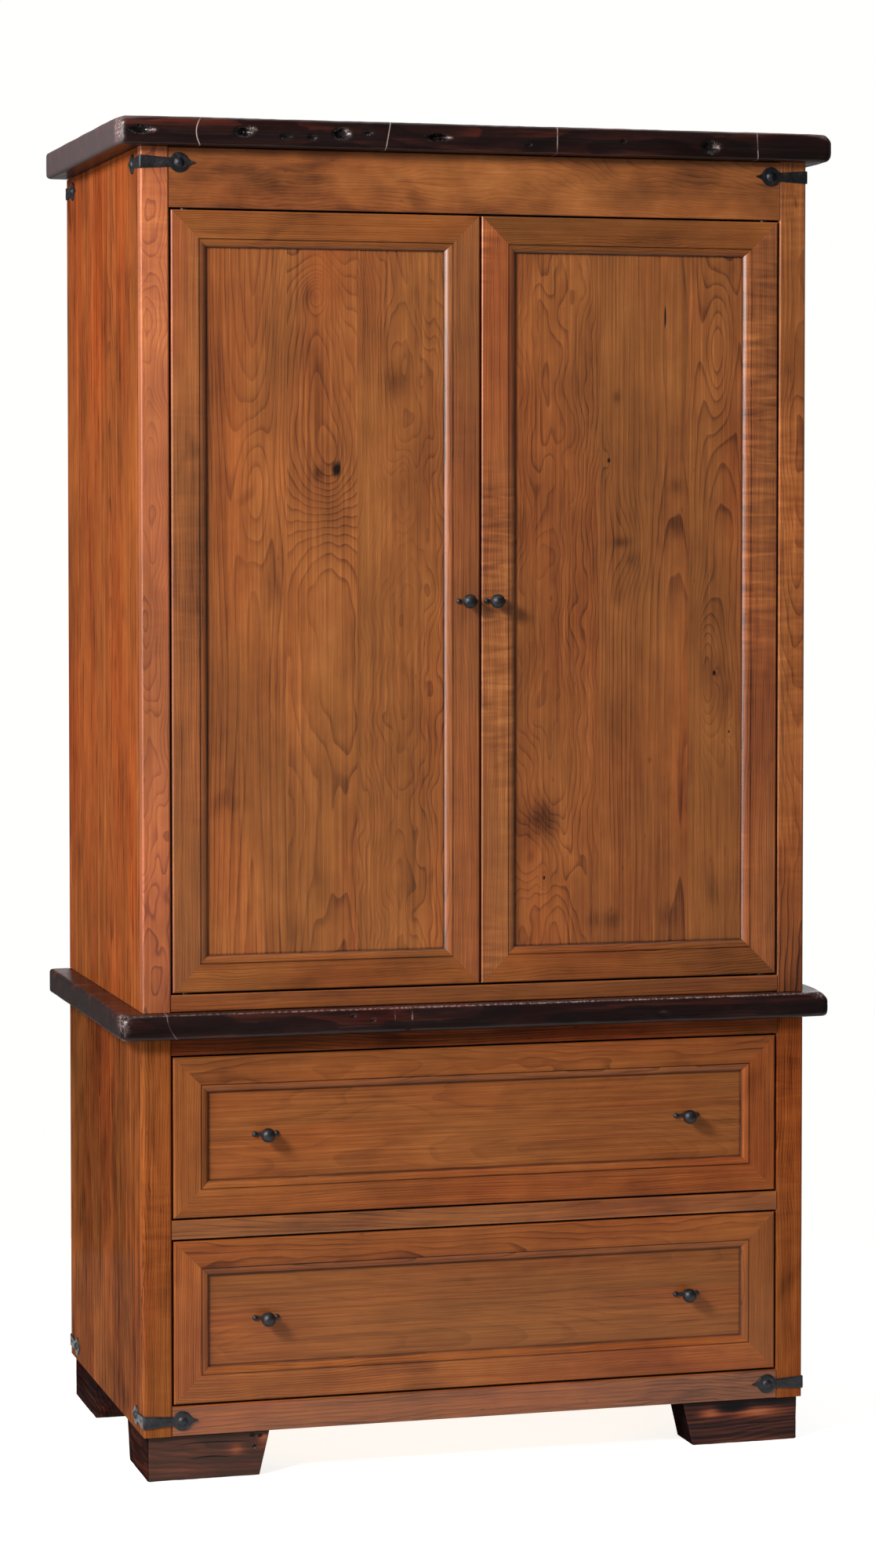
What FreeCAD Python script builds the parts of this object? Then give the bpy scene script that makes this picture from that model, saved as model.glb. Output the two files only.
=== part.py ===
import FreeCAD, Part
import math
import os
from types import SimpleNamespace

import Sketcher
from FreeCAD import Placement, Rotation, Vector

# Armoire in two stacked cases: an upper case with a pair of inset doors and a lower case with two
# inset drawers, each under a thick reclaimed-wood slab, on four block feet.
# Frame: millimetres, +Z up, the front towards -Y, the origin at the bottom centre of the whole box.

DIMENSIONS = {
    # cases and slabs
    "case_width": 1097,
    "case_depth": 650,
    "front_plane": -313.75,
    "foot_height": 72,
    "lower_case_height": 628,
    "waist_slab_thickness": 41,
    "upper_case_height": 1348,
    "top_slab_thickness": 45,
    "slab_side_overhang": 38,
    "slab_front_overhang": 26,
    "slab_corner_radius": 14,
    "slab_edge_radius": 6,
    # boards of the cases
    "post_width": 45,
    "face_thickness": 22,
    "side_thickness": 20,
    "back_thickness": 8,
    "board_thickness": 18,
    "dust_panel_thickness": 12,
    "dust_panel_lift": 12,
    "post_rounding": 3.5,
    "rail_rounding": 2.5,
    # openings of the two cases, from the bottom up
    "lower_bottom_rail_height": 47,
    "lower_drawer_opening": 263.5,
    "divider_rail_height": 30.5,
    "upper_drawer_opening": 259.5,
    "upper_bottom_rail_height": 27,
    "door_opening": 1227,
    "front_gap": 3,
    # moulded frames of the doors and drawer fronts
    "frame_width": 57,
    "frame_flat": 44,
    "frame_rounding": 3,
    "quirk_depth": 1,
    "bead_depth": 7.5,
    "bead_radius": 15,
    "panel_recess": 9,
    "panel_thickness": 9,
    "groove_depth": 8,
    "panel_play": 1,
    # shelf and clothes rod
    "shelf_height": 992,
    "shelf_setback": 40,
    "cleat_thickness": 18,
    "cleat_height": 90,
    "rod_radius": 16,
    "rod_play": 0.3,
    "rod_drop": 50,
    # door pivots
    "pivot_inset": 22,
    "pin_radius": 4,
    "pin_anchor": 20,
    "pin_reach": 16,
    "collar_radius": 7,
    "collar_height": 2.9,
    "bush_radius": 6,
    "bush_length": 14,
    "bush_bore_depth": 15,
    "pin_play": 0.05,
    # magnetic catches
    "catch_width": 44,
    "catch_depth": 16,
    "catch_height": 46,
    "catch_inset": 20,
    "catch_drop": 26,
    "catch_relief": 2,
    "strike_width": 40,
    "strike_height": 18,
    "strike_thickness": 1.5,
    "strike_drop": 2,
    # knobs and their backplates
    "knob_radius": 11.5,
    "knob_reach": 18,
    "knob_neck_radius": 5,
    "knob_collar_radius": 6,
    "knob_collar_length": 2,
    "shank_radius": 2.5,
    "shank_length": 12,
    "door_plate_length": 36,
    "drawer_plate_length": 44,
    "plate_ball_radius": 4.5,
    "plate_neck_radius": 2.6,
    "plate_boss_radius": 7,
    "plate_boss_height": 4,
    "door_knob_inset": 21.5,
    "drawer_knob_inset": 150,
    # drawer boxes
    "box_board": 15,
    "box_height": 220,
    "box_depth": 560,
    "box_lift": 15,
    "box_groove_lift": 10,
    "box_groove_depth": 5,
    "box_bottom_thickness": 6,
    # three-member drawer slides
    "slide_thickness": 12.7,
    "slide_length": 550,
    "slide_setback": 24,
    "slide_sheet": 1.2,
    "slide_height": 45,
    "slide_flange": 9,
    "middle_height": 40,
    "middle_setback": 3,
    "middle_depth": 8,
    "runner_height": 34.4,
    "runner_depth": 7.1,
    "spacer_height": 60,
    "spacer_length": 600,
    # feet
    "foot_inset": 6,
    "foot_beam": 77,
    "front_foot_length": 198,
    "front_foot_taper": 17,
    "front_foot_return": 173,
    "front_foot_return_taper": 24,
    "back_foot_length": 186,
    # forged corner straps and their nails
    "strap_thickness": 2.5,
    "strap_from_edge": 24,
    "strap_half_width": 10.3,
    "strap_neck_half_width": 7,
    "strap_disc_reach": 61,
    "strap_disc_radius": 15.5,
    "spade_half_width": 9.5,
    "spade_radius": 14,
    "spade_reach": 86,
    "spade_tip_half_width": 1.5,
    "nail_radius": 7.6,
    "nail_height": 4.5,
    "small_nail_radius": 3.2,
    "small_nail_height": 1.2,
    "small_nail_reach": 16,
}

TOLERANCE = 0.01  # how far an edge may stray from the line or face it is picked by, in millimetres

doc = FreeCAD.newDocument("armoire")


class Size:
    """A length that knows its value in millimetres and the sheet expression that gives it."""

    def __init__(self, text, value):
        self.text = text
        self.value = value

    def _join(self, sign, other, value):
        return Size(f"({self.text} {sign} {as_size(other).text})", value)

    def __add__(self, other):
        return self._join("+", other, self.value + as_size(other).value)

    def __radd__(self, other):
        return as_size(other) + self

    def __sub__(self, other):
        return self._join("-", other, self.value - as_size(other).value)

    def __rsub__(self, other):
        return as_size(other) - self

    def __mul__(self, other):
        return self._join("*", other, self.value * as_size(other).value)

    def __rmul__(self, other):
        return as_size(other) * self

    def __truediv__(self, other):
        return self._join("/", other, self.value / as_size(other).value)

    def __neg__(self):
        return self * -1

    def root(self):
        return Size(f"sqrt({self.text})", self.value ** 0.5)


def as_size(length):
    return length if isinstance(length, Size) else Size(f"({length})", length)


def make_sheet():
    """The driving dimensions as sheet cells, and the same names as Sizes to write formulas with."""
    sheet = doc.addObject("Spreadsheet::Sheet", "Dims")
    for row, (name, value) in enumerate(DIMENSIONS.items(), 1):
        sheet.set(f"A{row}", name)
        sheet.set(f"B{row}", str(value))
        sheet.setAlias(f"B{row}", name)
    doc.recompute()
    return SimpleNamespace(**{name: Size(f"Dims.{name}", value) for name, value in DIMENSIONS.items()})


d = make_sheet()

# Levels and lines that several pieces share.
half_case = d.case_width / 2
half_opening = half_case - d.post_width
half_inside = half_case - d.side_thickness
face_back = d.front_plane + d.face_thickness
case_back = d.front_plane + d.case_depth
inside_back = case_back - d.back_thickness

lower_bottom = d.foot_height
lower_drawer_floor = lower_bottom + d.lower_bottom_rail_height
divider_bottom = lower_drawer_floor + d.lower_drawer_opening
upper_drawer_floor = divider_bottom + d.divider_rail_height
lower_top_rail_bottom = upper_drawer_floor + d.upper_drawer_opening
lower_top = lower_bottom + d.lower_case_height
upper_bottom = lower_top + d.waist_slab_thickness
door_opening_floor = upper_bottom + d.upper_bottom_rail_height
frieze_bottom = door_opening_floor + d.door_opening
upper_top = upper_bottom + d.upper_case_height
shelf_bottom = door_opening_floor + d.shelf_height

door_width = half_opening - d.front_gap * 1.5
door_height = d.door_opening - d.front_gap * 2
door_bottom = door_opening_floor + d.front_gap
drawer_width = half_opening * 2 - d.front_gap * 2
pivot_from_centre = half_opening - d.front_gap - d.pivot_inset


# ---------------------------------------------------------------- helpers

def bind(thing, prop, length):
    thing.setExpression(prop, as_size(length).text)


def place(thing, at, turn=0.0, axis=Vector(0, 0, 1)):
    """Puts a piece at a bound position, turned about an axis by a whole angle in degrees."""
    base = Vector(*(as_size(part).value for part in at))
    thing.Placement = Placement(base, Rotation(axis, turn))
    for name, part in zip("xyz", at):
        bind(thing, f"Placement.Base.{name}", part)


def new_body(label):
    body = doc.addObject("PartDesign::Body", label)
    body.Label = label
    return body


def new_sketch(body, plane):
    sketch = body.newObject("Sketcher::SketchObject", f"{body.Name}_sketch")
    origin_plane = next(item for item in body.Origin.OriginFeatures if item.Role == plane)
    sketch.AttachmentSupport = [(origin_plane, "")]
    sketch.MapMode = "FlatFace"
    return sketch


def arc_between(start, end, radius, side):
    """The shorter arc between two points, bulging to the left (+1) or the right (-1) of the way to end.

    A sketch counts its arcs anticlockwise, so an arc that bulges to the left is made from end to start.
    """
    chord = end - start
    left = Vector(-chord.y, chord.x, 0).normalize()
    height = max(radius ** 2 - chord.Length ** 2 / 4, 0.0) ** 0.5
    centre = (start + end) * 0.5 - left * height * side
    first, last = (end, start) if side > 0 else (start, end)
    first_angle = math.atan2(first.y - centre.y, first.x - centre.x)
    last_angle = math.atan2(last.y - centre.y, last.x - centre.x)
    if last_angle < first_angle:
        last_angle += math.tau
    return Part.ArcOfCircle(Part.Circle(centre, Vector(0, 0, 1), radius), first_angle, last_angle)


def draw_outline(sketch, corners, arcs=None):
    """A closed outline whose corners, and radii of arcs, are tied to the sheet.

    arcs maps the number of a side to its (radius, side) as arc_between takes them.
    """
    arcs = arcs or {}
    corners = [(as_size(across), as_size(up)) for across, up in corners]
    points = [Vector(across.value, up.value, 0) for across, up in corners]
    ends = []
    for number, start in enumerate(points):
        end = points[(number + 1) % len(points)]
        backwards = False
        if number in arcs:
            radius, side = arcs[number]
            curve = arc_between(start, end, as_size(radius).value, side)
            backwards = side > 0
        else:
            curve = Part.LineSegment(start, end)
        index = sketch.addGeometry(curve, False)
        ends.append((index, 2, 1) if backwards else (index, 1, 2))
    for number, (index, _, tail) in enumerate(ends):
        following, head, _ = ends[(number + 1) % len(ends)]
        sketch.addConstraint(Sketcher.Constraint("Coincident", index, tail, following, head))
    for number, (across, up) in enumerate(corners):
        index, head, _ = ends[number]
        tie(sketch, "DistanceX", (-1, 1, index, head), across)
        tie(sketch, "DistanceY", (-1, 1, index, head), up)
    for number, (radius, _) in arcs.items():
        tie(sketch, "Radius", (ends[number][0],), as_size(radius))


def draw_circle(sketch, across, up, radius):
    across, up, radius = as_size(across), as_size(up), as_size(radius)
    circle = Part.Circle(Vector(across.value, up.value, 0), Vector(0, 0, 1), radius.value)
    index = sketch.addGeometry(circle, False)
    tie(sketch, "DistanceX", (-1, 1, index, 3), across)
    tie(sketch, "DistanceY", (-1, 1, index, 3), up)
    tie(sketch, "Radius", (index,), radius)


def tie(sketch, kind, places, length):
    number = sketch.addConstraint(Sketcher.Constraint(kind, *places, length.value))
    sketch.setExpression(f"Constraints[{number}]", length.text)


def outline(body, plane, corners, arcs=None):
    sketch = new_sketch(body, plane)
    draw_outline(sketch, corners, arcs)
    return sketch


def pad(body, sketch, length, reverse=False):
    feature = body.newObject("PartDesign::Pad", f"{body.Name}_pad")
    feature.Profile = sketch
    feature.Reversed = reverse
    bind(feature, "Length", length)
    return feature


def pocket(body, sketch, depth, reverse=False):
    """A pocket that is checked to take something away."""
    doc.recompute()
    before = body.Shape.Volume
    feature = body.newObject("PartDesign::Pocket", f"{body.Name}_pocket")
    feature.Profile = sketch
    feature.Reversed = reverse
    bind(feature, "Length", depth)
    doc.recompute()
    if not body.Shape.Volume < before:
        raise RuntimeError(f"{body.Label}: {feature.Name} cuts nothing")
    return feature


def hole(body, plane, across, up, radius, depth, reverse=False):
    sketch = new_sketch(body, plane)
    draw_circle(sketch, across, up, radius)
    return pocket(body, sketch, depth, reverse)


def rounding(body, radius, wanted):
    """Rounds those edges of the body so far that wanted(edge, box) picks."""
    doc.recompute()
    base = body.Tip
    box = base.Shape.BoundBox
    names = [f"Edge{n}" for n, edge in enumerate(base.Shape.Edges, 1) if wanted(edge, box)]
    feature = body.newObject("PartDesign::Fillet", f"{body.Name}_rounding")
    feature.Base = (base, names)
    bind(feature, "Radius", radius)


def runs_along(edge, axis):
    along = edge.BoundBox
    lengths = {"x": along.XLength, "y": along.YLength, "z": along.ZLength}
    return sum(lengths.values()) - lengths[axis] < TOLERANCE < lengths[axis]


def front_edges(axis):
    """Picks the edges along an axis on the front of a board."""
    return lambda edge, box: runs_along(edge, axis) and edge.BoundBox.YMax < box.YMin + TOLERANCE


def upright_edges(edge, box):
    return runs_along(edge, "z")


def level_edges(edge, box):
    return edge.BoundBox.ZLength < TOLERANCE


def rectangle(width, depth):
    return [(0, 0), (width, 0), (width, depth), (0, depth)]


def board(label, at, size):
    """A plain board with its lowest corner at a point and its three sizes along X, Y and Z."""
    body = new_body(label)
    pad(body, outline(body, "XY_Plane", rectangle(size[0], size[1])), size[2])
    place(body, at)
    return body


def revolved(label, plane, axis, corners, arcs=None):
    """A turned piece: a half outline swung round one axis of its sketch."""
    body = new_body(label)
    sketch = outline(body, plane, corners, arcs)
    feature = body.newObject("PartDesign::Revolution", f"{body.Name}_turning")
    feature.Profile = sketch
    feature.ReferenceAxis = (sketch, [axis])
    feature.Angle = 360.0
    return body


def group(label, members):
    """Several like pieces that share one name."""
    compound = doc.addObject("Part::Compound", label)
    compound.Label = label
    compound.Links = members
    return compound


# ---------------------------------------------------------------- slabs and cases

def slab(label, bottom, thickness):
    width = d.case_width + d.slab_side_overhang * 2
    front = d.front_plane - d.slab_front_overhang
    body = board(label, (-width / 2, front, bottom), (width, d.case_depth + d.slab_front_overhang, thickness))
    rounding(body, d.slab_corner_radius, upright_edges)
    rounding(body, d.slab_edge_radius, level_edges)
    return body


def side_panel(label, at_left, bottom, height):
    start = -half_case if at_left else half_inside
    depth = d.case_depth - d.face_thickness
    return board(label, (start, face_back, bottom), (d.side_thickness, depth, height))


def posts(label, bottom, height):
    pair = []
    for side, start in (("left", -half_case), ("right", half_opening)):
        post = board(f"{label}_{side}", (start, d.front_plane, bottom), (d.post_width, d.face_thickness, height))
        rounding(post, d.post_rounding, front_edges("z"))
        pair.append(post)
    return group(label, pair)


def rail(label, bottom, height):
    """A rail of the face frame, between the posts."""
    body = board(label, (-half_opening, d.front_plane, bottom), (half_opening * 2, d.face_thickness, height))
    rounding(body, d.rail_rounding, front_edges("x"))
    return body


def inner_board(label, bottom, thickness, front, back):
    """A level board from side to side of a case."""
    return board(label, (-half_inside, front, bottom), (half_inside * 2, back - front, thickness))


def make_cases():
    pieces = [
        slab("waist_slab", lower_top, d.waist_slab_thickness),
        slab("top_slab", upper_top, d.top_slab_thickness),
        side_panel("lower_left_side", True, lower_bottom, d.lower_case_height),
        side_panel("lower_right_side", False, lower_bottom, d.lower_case_height),
        side_panel("upper_left_side", True, upper_bottom, d.upper_case_height),
        side_panel("upper_right_side", False, upper_bottom, d.upper_case_height),
        posts("lower_posts", lower_bottom, d.lower_case_height),
        posts("upper_posts", upper_bottom, d.upper_case_height),
        rail("lower_bottom_rail", lower_bottom, d.lower_bottom_rail_height),
        rail("drawer_divider_rail", divider_bottom, d.divider_rail_height),
        rail("lower_top_rail", lower_top_rail_bottom, lower_top - lower_top_rail_bottom),
        inner_board("lower_dust_panel", lower_bottom + d.dust_panel_lift, d.dust_panel_thickness,
                    face_back, inside_back),
        inner_board("upper_floor_panel", door_opening_floor - d.board_thickness, d.board_thickness,
                    face_back, inside_back),
        inner_board("hat_shelf", shelf_bottom, d.board_thickness,
                    face_back + d.shelf_setback, inside_back),
        inner_board("lower_back_panel", lower_bottom, d.lower_case_height, inside_back, case_back),
        inner_board("upper_back_panel", upper_bottom, d.upper_case_height, inside_back, case_back),
    ]
    return pieces + [frieze_rail(), upper_bottom_rail()]


def pin_holes(body, depth, reverse):
    for side in (-1, 1):
        hole(body, "XY_Plane", half_opening + pivot_from_centre * side, d.face_thickness / 2,
             d.pin_radius, depth, reverse)


def frieze_rail():
    """The wide rail over the doors, bored from below for the upper pivot pins."""
    body = rail("frieze_rail", frieze_bottom, upper_top - frieze_bottom)
    pin_holes(body, d.pin_anchor, True)
    return body


def upper_bottom_rail():
    """The narrow rail under the doors, bored right through where the lower pivot pins stand."""
    body = rail("upper_bottom_rail", upper_bottom, d.upper_bottom_rail_height)
    pin_holes(body, d.upper_bottom_rail_height, True)
    return body


def make_shelf_fittings():
    """The cleats under the hat shelf, which also carry the clothes rod."""
    front = face_back + d.shelf_setback
    depth = inside_back - front
    bottom = shelf_bottom - d.cleat_height
    rod_height = d.cleat_height - d.rod_drop
    cleats = []
    for side, start in (("left", -half_inside), ("right", half_inside - d.cleat_thickness)):
        cleat = board(f"shelf_cleats_{side}", (start, front, bottom), (d.cleat_thickness, depth, d.cleat_height))
        hole(cleat, "YZ_Plane", depth / 2, rod_height, d.rod_radius + d.rod_play, d.cleat_thickness, True)
        cleats.append(cleat)
    rod = new_body("clothes_rod")
    sketch = new_sketch(rod, "YZ_Plane")
    draw_circle(sketch, 0, 0, d.rod_radius)
    pad(rod, sketch, half_inside * 2)
    place(rod, (-half_inside, front + depth / 2, bottom + rod_height))
    return [group("shelf_cleats", cleats), rod]


# ---------------------------------------------------------------- moulded frames

def frame_member(label, length, corner, turn):
    """One mitred member of a moulded frame.

    It lies along X with its outer edge down and its face at Y = 0; turn swings it about Y into its
    place: 0 for the bottom, 90 for the left, 180 for the top and -90 for the right member.
    """
    body = new_body(label)
    lip = d.frame_width
    groove_floor = lip - d.groove_depth
    groove_back = d.panel_recess + d.panel_thickness
    profile = [
        (d.face_thickness, 0),
        (d.frame_rounding, 0),
        (0, d.frame_rounding),
        (0, d.frame_flat),
        (d.quirk_depth, d.frame_flat),
        (d.bead_depth, lip),
        (d.panel_recess, lip),
        (d.panel_recess, groove_floor),
        (groove_back, groove_floor),
        (groove_back, lip),
        (d.face_thickness, lip),
    ]
    arcs = {1: (d.frame_rounding, 1), 4: (d.bead_radius, 1)}
    pad(body, outline(body, "YZ_Plane", profile, arcs), length)
    mitre = new_sketch(body, "XZ_Plane")
    draw_outline(mitre, [(0, 0), (lip, lip), (0, lip)])
    pocket(body, mitre, d.face_thickness)
    far_mitre = new_sketch(body, "XZ_Plane")
    draw_outline(far_mitre, [(length, 0), (length, lip), (length - lip, lip)])
    pocket(body, far_mitre, d.face_thickness)
    place(body, corner, turn, Vector(0, 1, 0))
    return body


def moulded_front(name, left, bottom, width, height):
    """The four mitred members of a frame, as (bottom, left, top, right), and its recessed panel."""
    right = left + width
    top = bottom + height
    front = d.front_plane
    members = [
        frame_member(f"{name}_frame_bottom", width, (left, front, bottom), 0),
        frame_member(f"{name}_frame_left", height, (left, front, top), 90),
        frame_member(f"{name}_frame_top", width, (right, front, top), 180),
        frame_member(f"{name}_frame_right", height, (right, front, bottom), -90),
    ]
    edge = d.frame_width - d.groove_depth + d.panel_play
    panel = board(f"{name}_panel", (left + edge, front + d.panel_recess, bottom + edge),
                  (width - edge * 2, d.panel_thickness, height - edge * 2))
    return members, panel


# ---------------------------------------------------------------- knobs

def knob(label, at):
    """A round knob with its neck, collar and shank, turned about Y."""
    neck = (d.knob_radius * d.knob_radius - d.knob_neck_radius * d.knob_neck_radius).root() - d.knob_reach
    collar_back = -d.plate_boss_height
    profile = [
        (d.shank_length, 0),
        (d.shank_length, d.shank_radius),
        (collar_back, d.shank_radius),
        (collar_back, d.knob_collar_radius),
        (collar_back - d.knob_collar_length, d.knob_collar_radius),
        (neck, d.knob_neck_radius),
        (-d.knob_reach - d.knob_radius, 0),
    ]
    body = revolved(label, "YZ_Plane", "H_Axis", profile, {5: (d.knob_radius, -1)})
    place(body, at)
    return body


def knob_plate(label, at, length):
    """A backplate: half a turned bar with a ball at each end, and a round boss that the knob sits on."""
    ball = d.plate_ball_radius
    neck = d.plate_neck_radius
    ball_centre = length / 2 - ball
    neck_at = ball_centre - (ball * ball - neck * neck).root()
    profile = [
        (-length / 2, 0),
        (-neck_at, neck),
        (0, d.plate_boss_height),
        (neck_at, neck),
        (length / 2, 0),
    ]
    body = revolved(label, "XZ_Plane", "H_Axis", profile, {0: (ball, 1), 3: (ball, 1)})
    back = outline(body, "XZ_Plane", [(-length, -length), (length, -length), (length, length), (-length, length)])
    pocket(body, back, length)
    boss = new_sketch(body, "XZ_Plane")
    draw_circle(boss, 0, 0, d.plate_boss_radius)
    pad(body, boss, d.plate_boss_height)
    hole(body, "XZ_Plane", 0, 0, d.shank_radius, d.plate_boss_height, True)
    place(body, at)
    return body


# ---------------------------------------------------------------- doors

def make_door(side_name, side):
    """A door as its stiles, rails, panel, knob, backplate, pivot bushes and strike plate.

    side is -1 for the left door and 1 for the right one; each hangs on its outer edge.
    """
    name = f"{side_name}_door"
    left = d.front_gap / 2 if side > 0 else -d.front_gap / 2 - door_width
    (bottom, left_stile, top, right_stile), panel = moulded_front(name, left, door_bottom, door_width, door_height)

    far = door_width - d.pivot_inset
    near = d.pivot_inset
    bore_at = {bottom: far if side > 0 else near, top: near if side > 0 else far}
    for member, along in bore_at.items():
        hole(member, "XY_Plane", along, d.face_thickness / 2, d.bush_radius, d.bush_bore_depth, True)

    meeting_stile = left_stile if side > 0 else right_stile
    knob_at = (d.front_gap / 2 * side + d.door_knob_inset * side, d.front_plane, door_bottom + door_height / 2)
    hole(meeting_stile, "XZ_Plane", door_height / 2, d.door_knob_inset, d.shank_radius, d.shank_length)

    bushes = [
        pivot_bush(f"{name}_bushes_lower", side, door_bottom, 0),
        pivot_bush(f"{name}_bushes_upper", side, door_bottom + door_height, 180),
    ]
    strike_left = d.catch_inset + (d.catch_width - d.strike_width) / 2
    strike_start = strike_left if side > 0 else -strike_left - d.strike_width
    strike = board(f"{name}_strike_plate",
                   (strike_start, face_back, door_bottom + door_height - d.strike_height - d.strike_drop),
                   (d.strike_width, d.strike_thickness, d.strike_height))
    return [
        group(f"{name}_rails", [bottom, top]),
        group(f"{name}_stiles", [left_stile, right_stile]),
        panel,
        knob(f"{name}_knob", knob_at),
        knob_plate(f"{name}_knob_plate", knob_at, d.door_plate_length),
        group(f"{name}_bushes", bushes),
        strike,
    ]


def pivot_bush(label, side, level, turn):
    bore = d.pin_radius + d.pin_play
    profile = [(bore, 0), (d.bush_radius, 0), (d.bush_radius, d.bush_length), (bore, d.bush_length)]
    body = revolved(label, "XZ_Plane", "V_Axis", profile)
    place(body, (pivot_from_centre * side, d.front_plane + d.face_thickness / 2, level), turn, Vector(1, 0, 0))
    return body


def make_pivot_pins():
    """A collared pin under and over the outer edge of each door."""
    profile = [
        (0, -d.pin_anchor),
        (d.pin_radius, -d.pin_anchor),
        (d.pin_radius, 0),
        (d.collar_radius, 0),
        (d.collar_radius, d.collar_height),
        (d.pin_radius, d.collar_height),
        (d.pin_radius, d.pin_reach),
        (0, d.pin_reach),
    ]
    pins = []
    for side_name, side in (("left", -1), ("right", 1)):
        for end, level, turn in (("lower", door_opening_floor, 0), ("upper", frieze_bottom, 180)):
            pin = revolved(f"door_pivot_pins_{side_name}_{end}", "XZ_Plane", "V_Axis", profile)
            at = (pivot_from_centre * side, d.front_plane + d.face_thickness / 2, level)
            place(pin, at, turn, Vector(1, 0, 0))
            pins.append(pin)
    return group("door_pivot_pins", pins)


def make_catches():
    """Magnetic catches on the back of the frieze, hanging behind the doors' upper corners."""
    shoulder = d.catch_drop
    profile = [
        (d.catch_relief, 0),
        (d.catch_depth, 0),
        (d.catch_depth, d.catch_height),
        (0, d.catch_height),
        (0, shoulder),
        (d.catch_relief, shoulder),
    ]
    catches = []
    for side_name, start in (("left", -d.catch_inset - d.catch_width), ("right", d.catch_inset)):
        catch = new_body(f"door_catches_{side_name}")
        pad(catch, outline(catch, "YZ_Plane", profile), d.catch_width)
        place(catch, (start, face_back, frieze_bottom - shoulder))
        catches.append(catch)
    return group("door_catches", catches)


# ---------------------------------------------------------------- drawers and slides

def box_board(label, length, corner, turn):
    """A drawer-box board with its groove for the bottom: it runs along Y, its inner face towards +X."""
    groove_top = d.box_groove_lift + d.box_bottom_thickness
    inner = d.box_board
    floor = d.box_board - d.box_groove_depth
    profile = [
        (0, 0),
        (inner, 0),
        (inner, d.box_groove_lift),
        (floor, d.box_groove_lift),
        (floor, groove_top),
        (inner, groove_top),
        (inner, d.box_height),
        (0, d.box_height),
    ]
    body = new_body(label)
    pad(body, outline(body, "XZ_Plane", profile), length, True)
    place(body, corner, turn)
    return body


def slide_member(label, profile, corner, turn):
    body = new_body(label)
    pad(body, outline(body, "XZ_Plane", profile), d.slide_length, True)
    place(body, corner, turn)
    return body


def channel(start, end, half_height):
    """The outline of a sheet-steel channel whose web is at start and whose flanges reach to end."""
    sheet = d.slide_sheet if as_size(end).value > as_size(start).value else -d.slide_sheet
    web = start + sheet
    inner = half_height - d.slide_sheet
    return [
        (start, -half_height),
        (end, -half_height),
        (end, -inner),
        (web, -inner),
        (web, inner),
        (end, inner),
        (end, half_height),
        (start, half_height),
    ]


def make_drawer(level, opening_floor, opening_height):
    """A drawer with its moulded front, box and knobs, and the slides on both sides of it."""
    name = f"{level}_drawer"
    front_bottom = opening_floor + d.front_gap
    front_height = opening_height - d.front_gap * 2
    members, panel = moulded_front(name, -drawer_width / 2, front_bottom, drawer_width, front_height)

    edge = d.frame_width - d.groove_depth + d.panel_play
    from_middle = drawer_width / 2 - d.drawer_knob_inset
    knobs = []
    plates = []
    for side_name, side in (("left", -1), ("right", 1)):
        hole(panel, "XZ_Plane", drawer_width / 2 - edge + from_middle * side, front_height / 2 - edge,
             d.shank_radius, d.panel_thickness)
        at = (from_middle * side, d.front_plane + d.panel_recess, front_bottom + front_height / 2)
        knobs.append(knob(f"{name}_knobs_{side_name}", at))
        plates.append(knob_plate(f"{name}_knob_plates_{side_name}", at, d.drawer_plate_length))

    half_box = half_opening - d.slide_thickness
    box_floor = opening_floor + d.box_lift
    box_back = face_back + d.box_depth
    across = half_box * 2 - d.box_board * 2
    inner = half_box - d.box_board
    boards = [
        box_board(f"{name}_box_left", d.box_depth, (-half_box, face_back, box_floor), 0),
        box_board(f"{name}_box_right", d.box_depth, (half_box, box_back, box_floor), 180),
        box_board(f"{name}_box_front", across, (inner, face_back, box_floor), 90),
        box_board(f"{name}_box_back", across, (-inner, box_back, box_floor), -90),
    ]
    tongue = d.box_board - d.box_groove_depth
    bottom = board(f"{name}_bottom",
                   (-half_box + tongue, face_back + tongue, box_floor + d.box_groove_lift),
                   (half_box * 2 - tongue * 2, d.box_depth - tongue * 2, d.box_bottom_thickness))
    return [
        group(f"{name}_frame", members),
        panel,
        group(f"{name}_knobs", knobs),
        group(f"{name}_knob_plates", plates),
        group(f"{name}_box", boards),
        bottom,
    ] + make_slide_members(name, box_floor + d.box_height / 2)


def pair_of_members(label, profile, height):
    start = d.front_plane + d.slide_setback
    return group(label, [
        slide_member(f"{label}_left", profile, (-half_opening, start, height), 0),
        slide_member(f"{label}_right", profile, (half_opening, start + d.slide_length, height), 180),
    ])


def make_slide_members(name, height):
    middle = channel(d.middle_setback, d.middle_setback + d.middle_depth, d.middle_height / 2)
    runner = channel(d.slide_thickness, d.slide_thickness - d.runner_depth, d.runner_height / 2)
    return [
        pair_of_members(f"{name}_slide_middles", middle, height),
        pair_of_members(f"{name}_slide_runners", runner, height),
    ]


def make_slide_supports():
    """The cabinet members of the slides and the spacers that bring them out to the posts' line."""
    cabinet = channel(as_size(0), d.slide_flange, d.slide_height / 2)
    start = d.front_plane + d.slide_setback
    members = []
    spacers = []
    thickness = half_inside - half_opening
    for level, opening_floor in (("lower", lower_drawer_floor), ("upper", upper_drawer_floor)):
        height = opening_floor + d.box_lift + d.box_height / 2
        left = slide_member(f"slide_cabinet_members_{level}_left", cabinet, (-half_opening, start, height), 0)
        right = slide_member(f"slide_cabinet_members_{level}_right", cabinet,
                             (half_opening, start + d.slide_length, height), 180)
        members += [left, right]
        for side_name, edge in (("left", -half_inside), ("right", half_opening)):
            spacers.append(board(f"slide_spacers_{level}_{side_name}",
                                 (edge, face_back, height - d.spacer_height / 2),
                                 (thickness, d.spacer_length, d.spacer_height)))
    return [group("slide_cabinet_members", members), group("slide_spacers", spacers)]


# ---------------------------------------------------------------- feet

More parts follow.
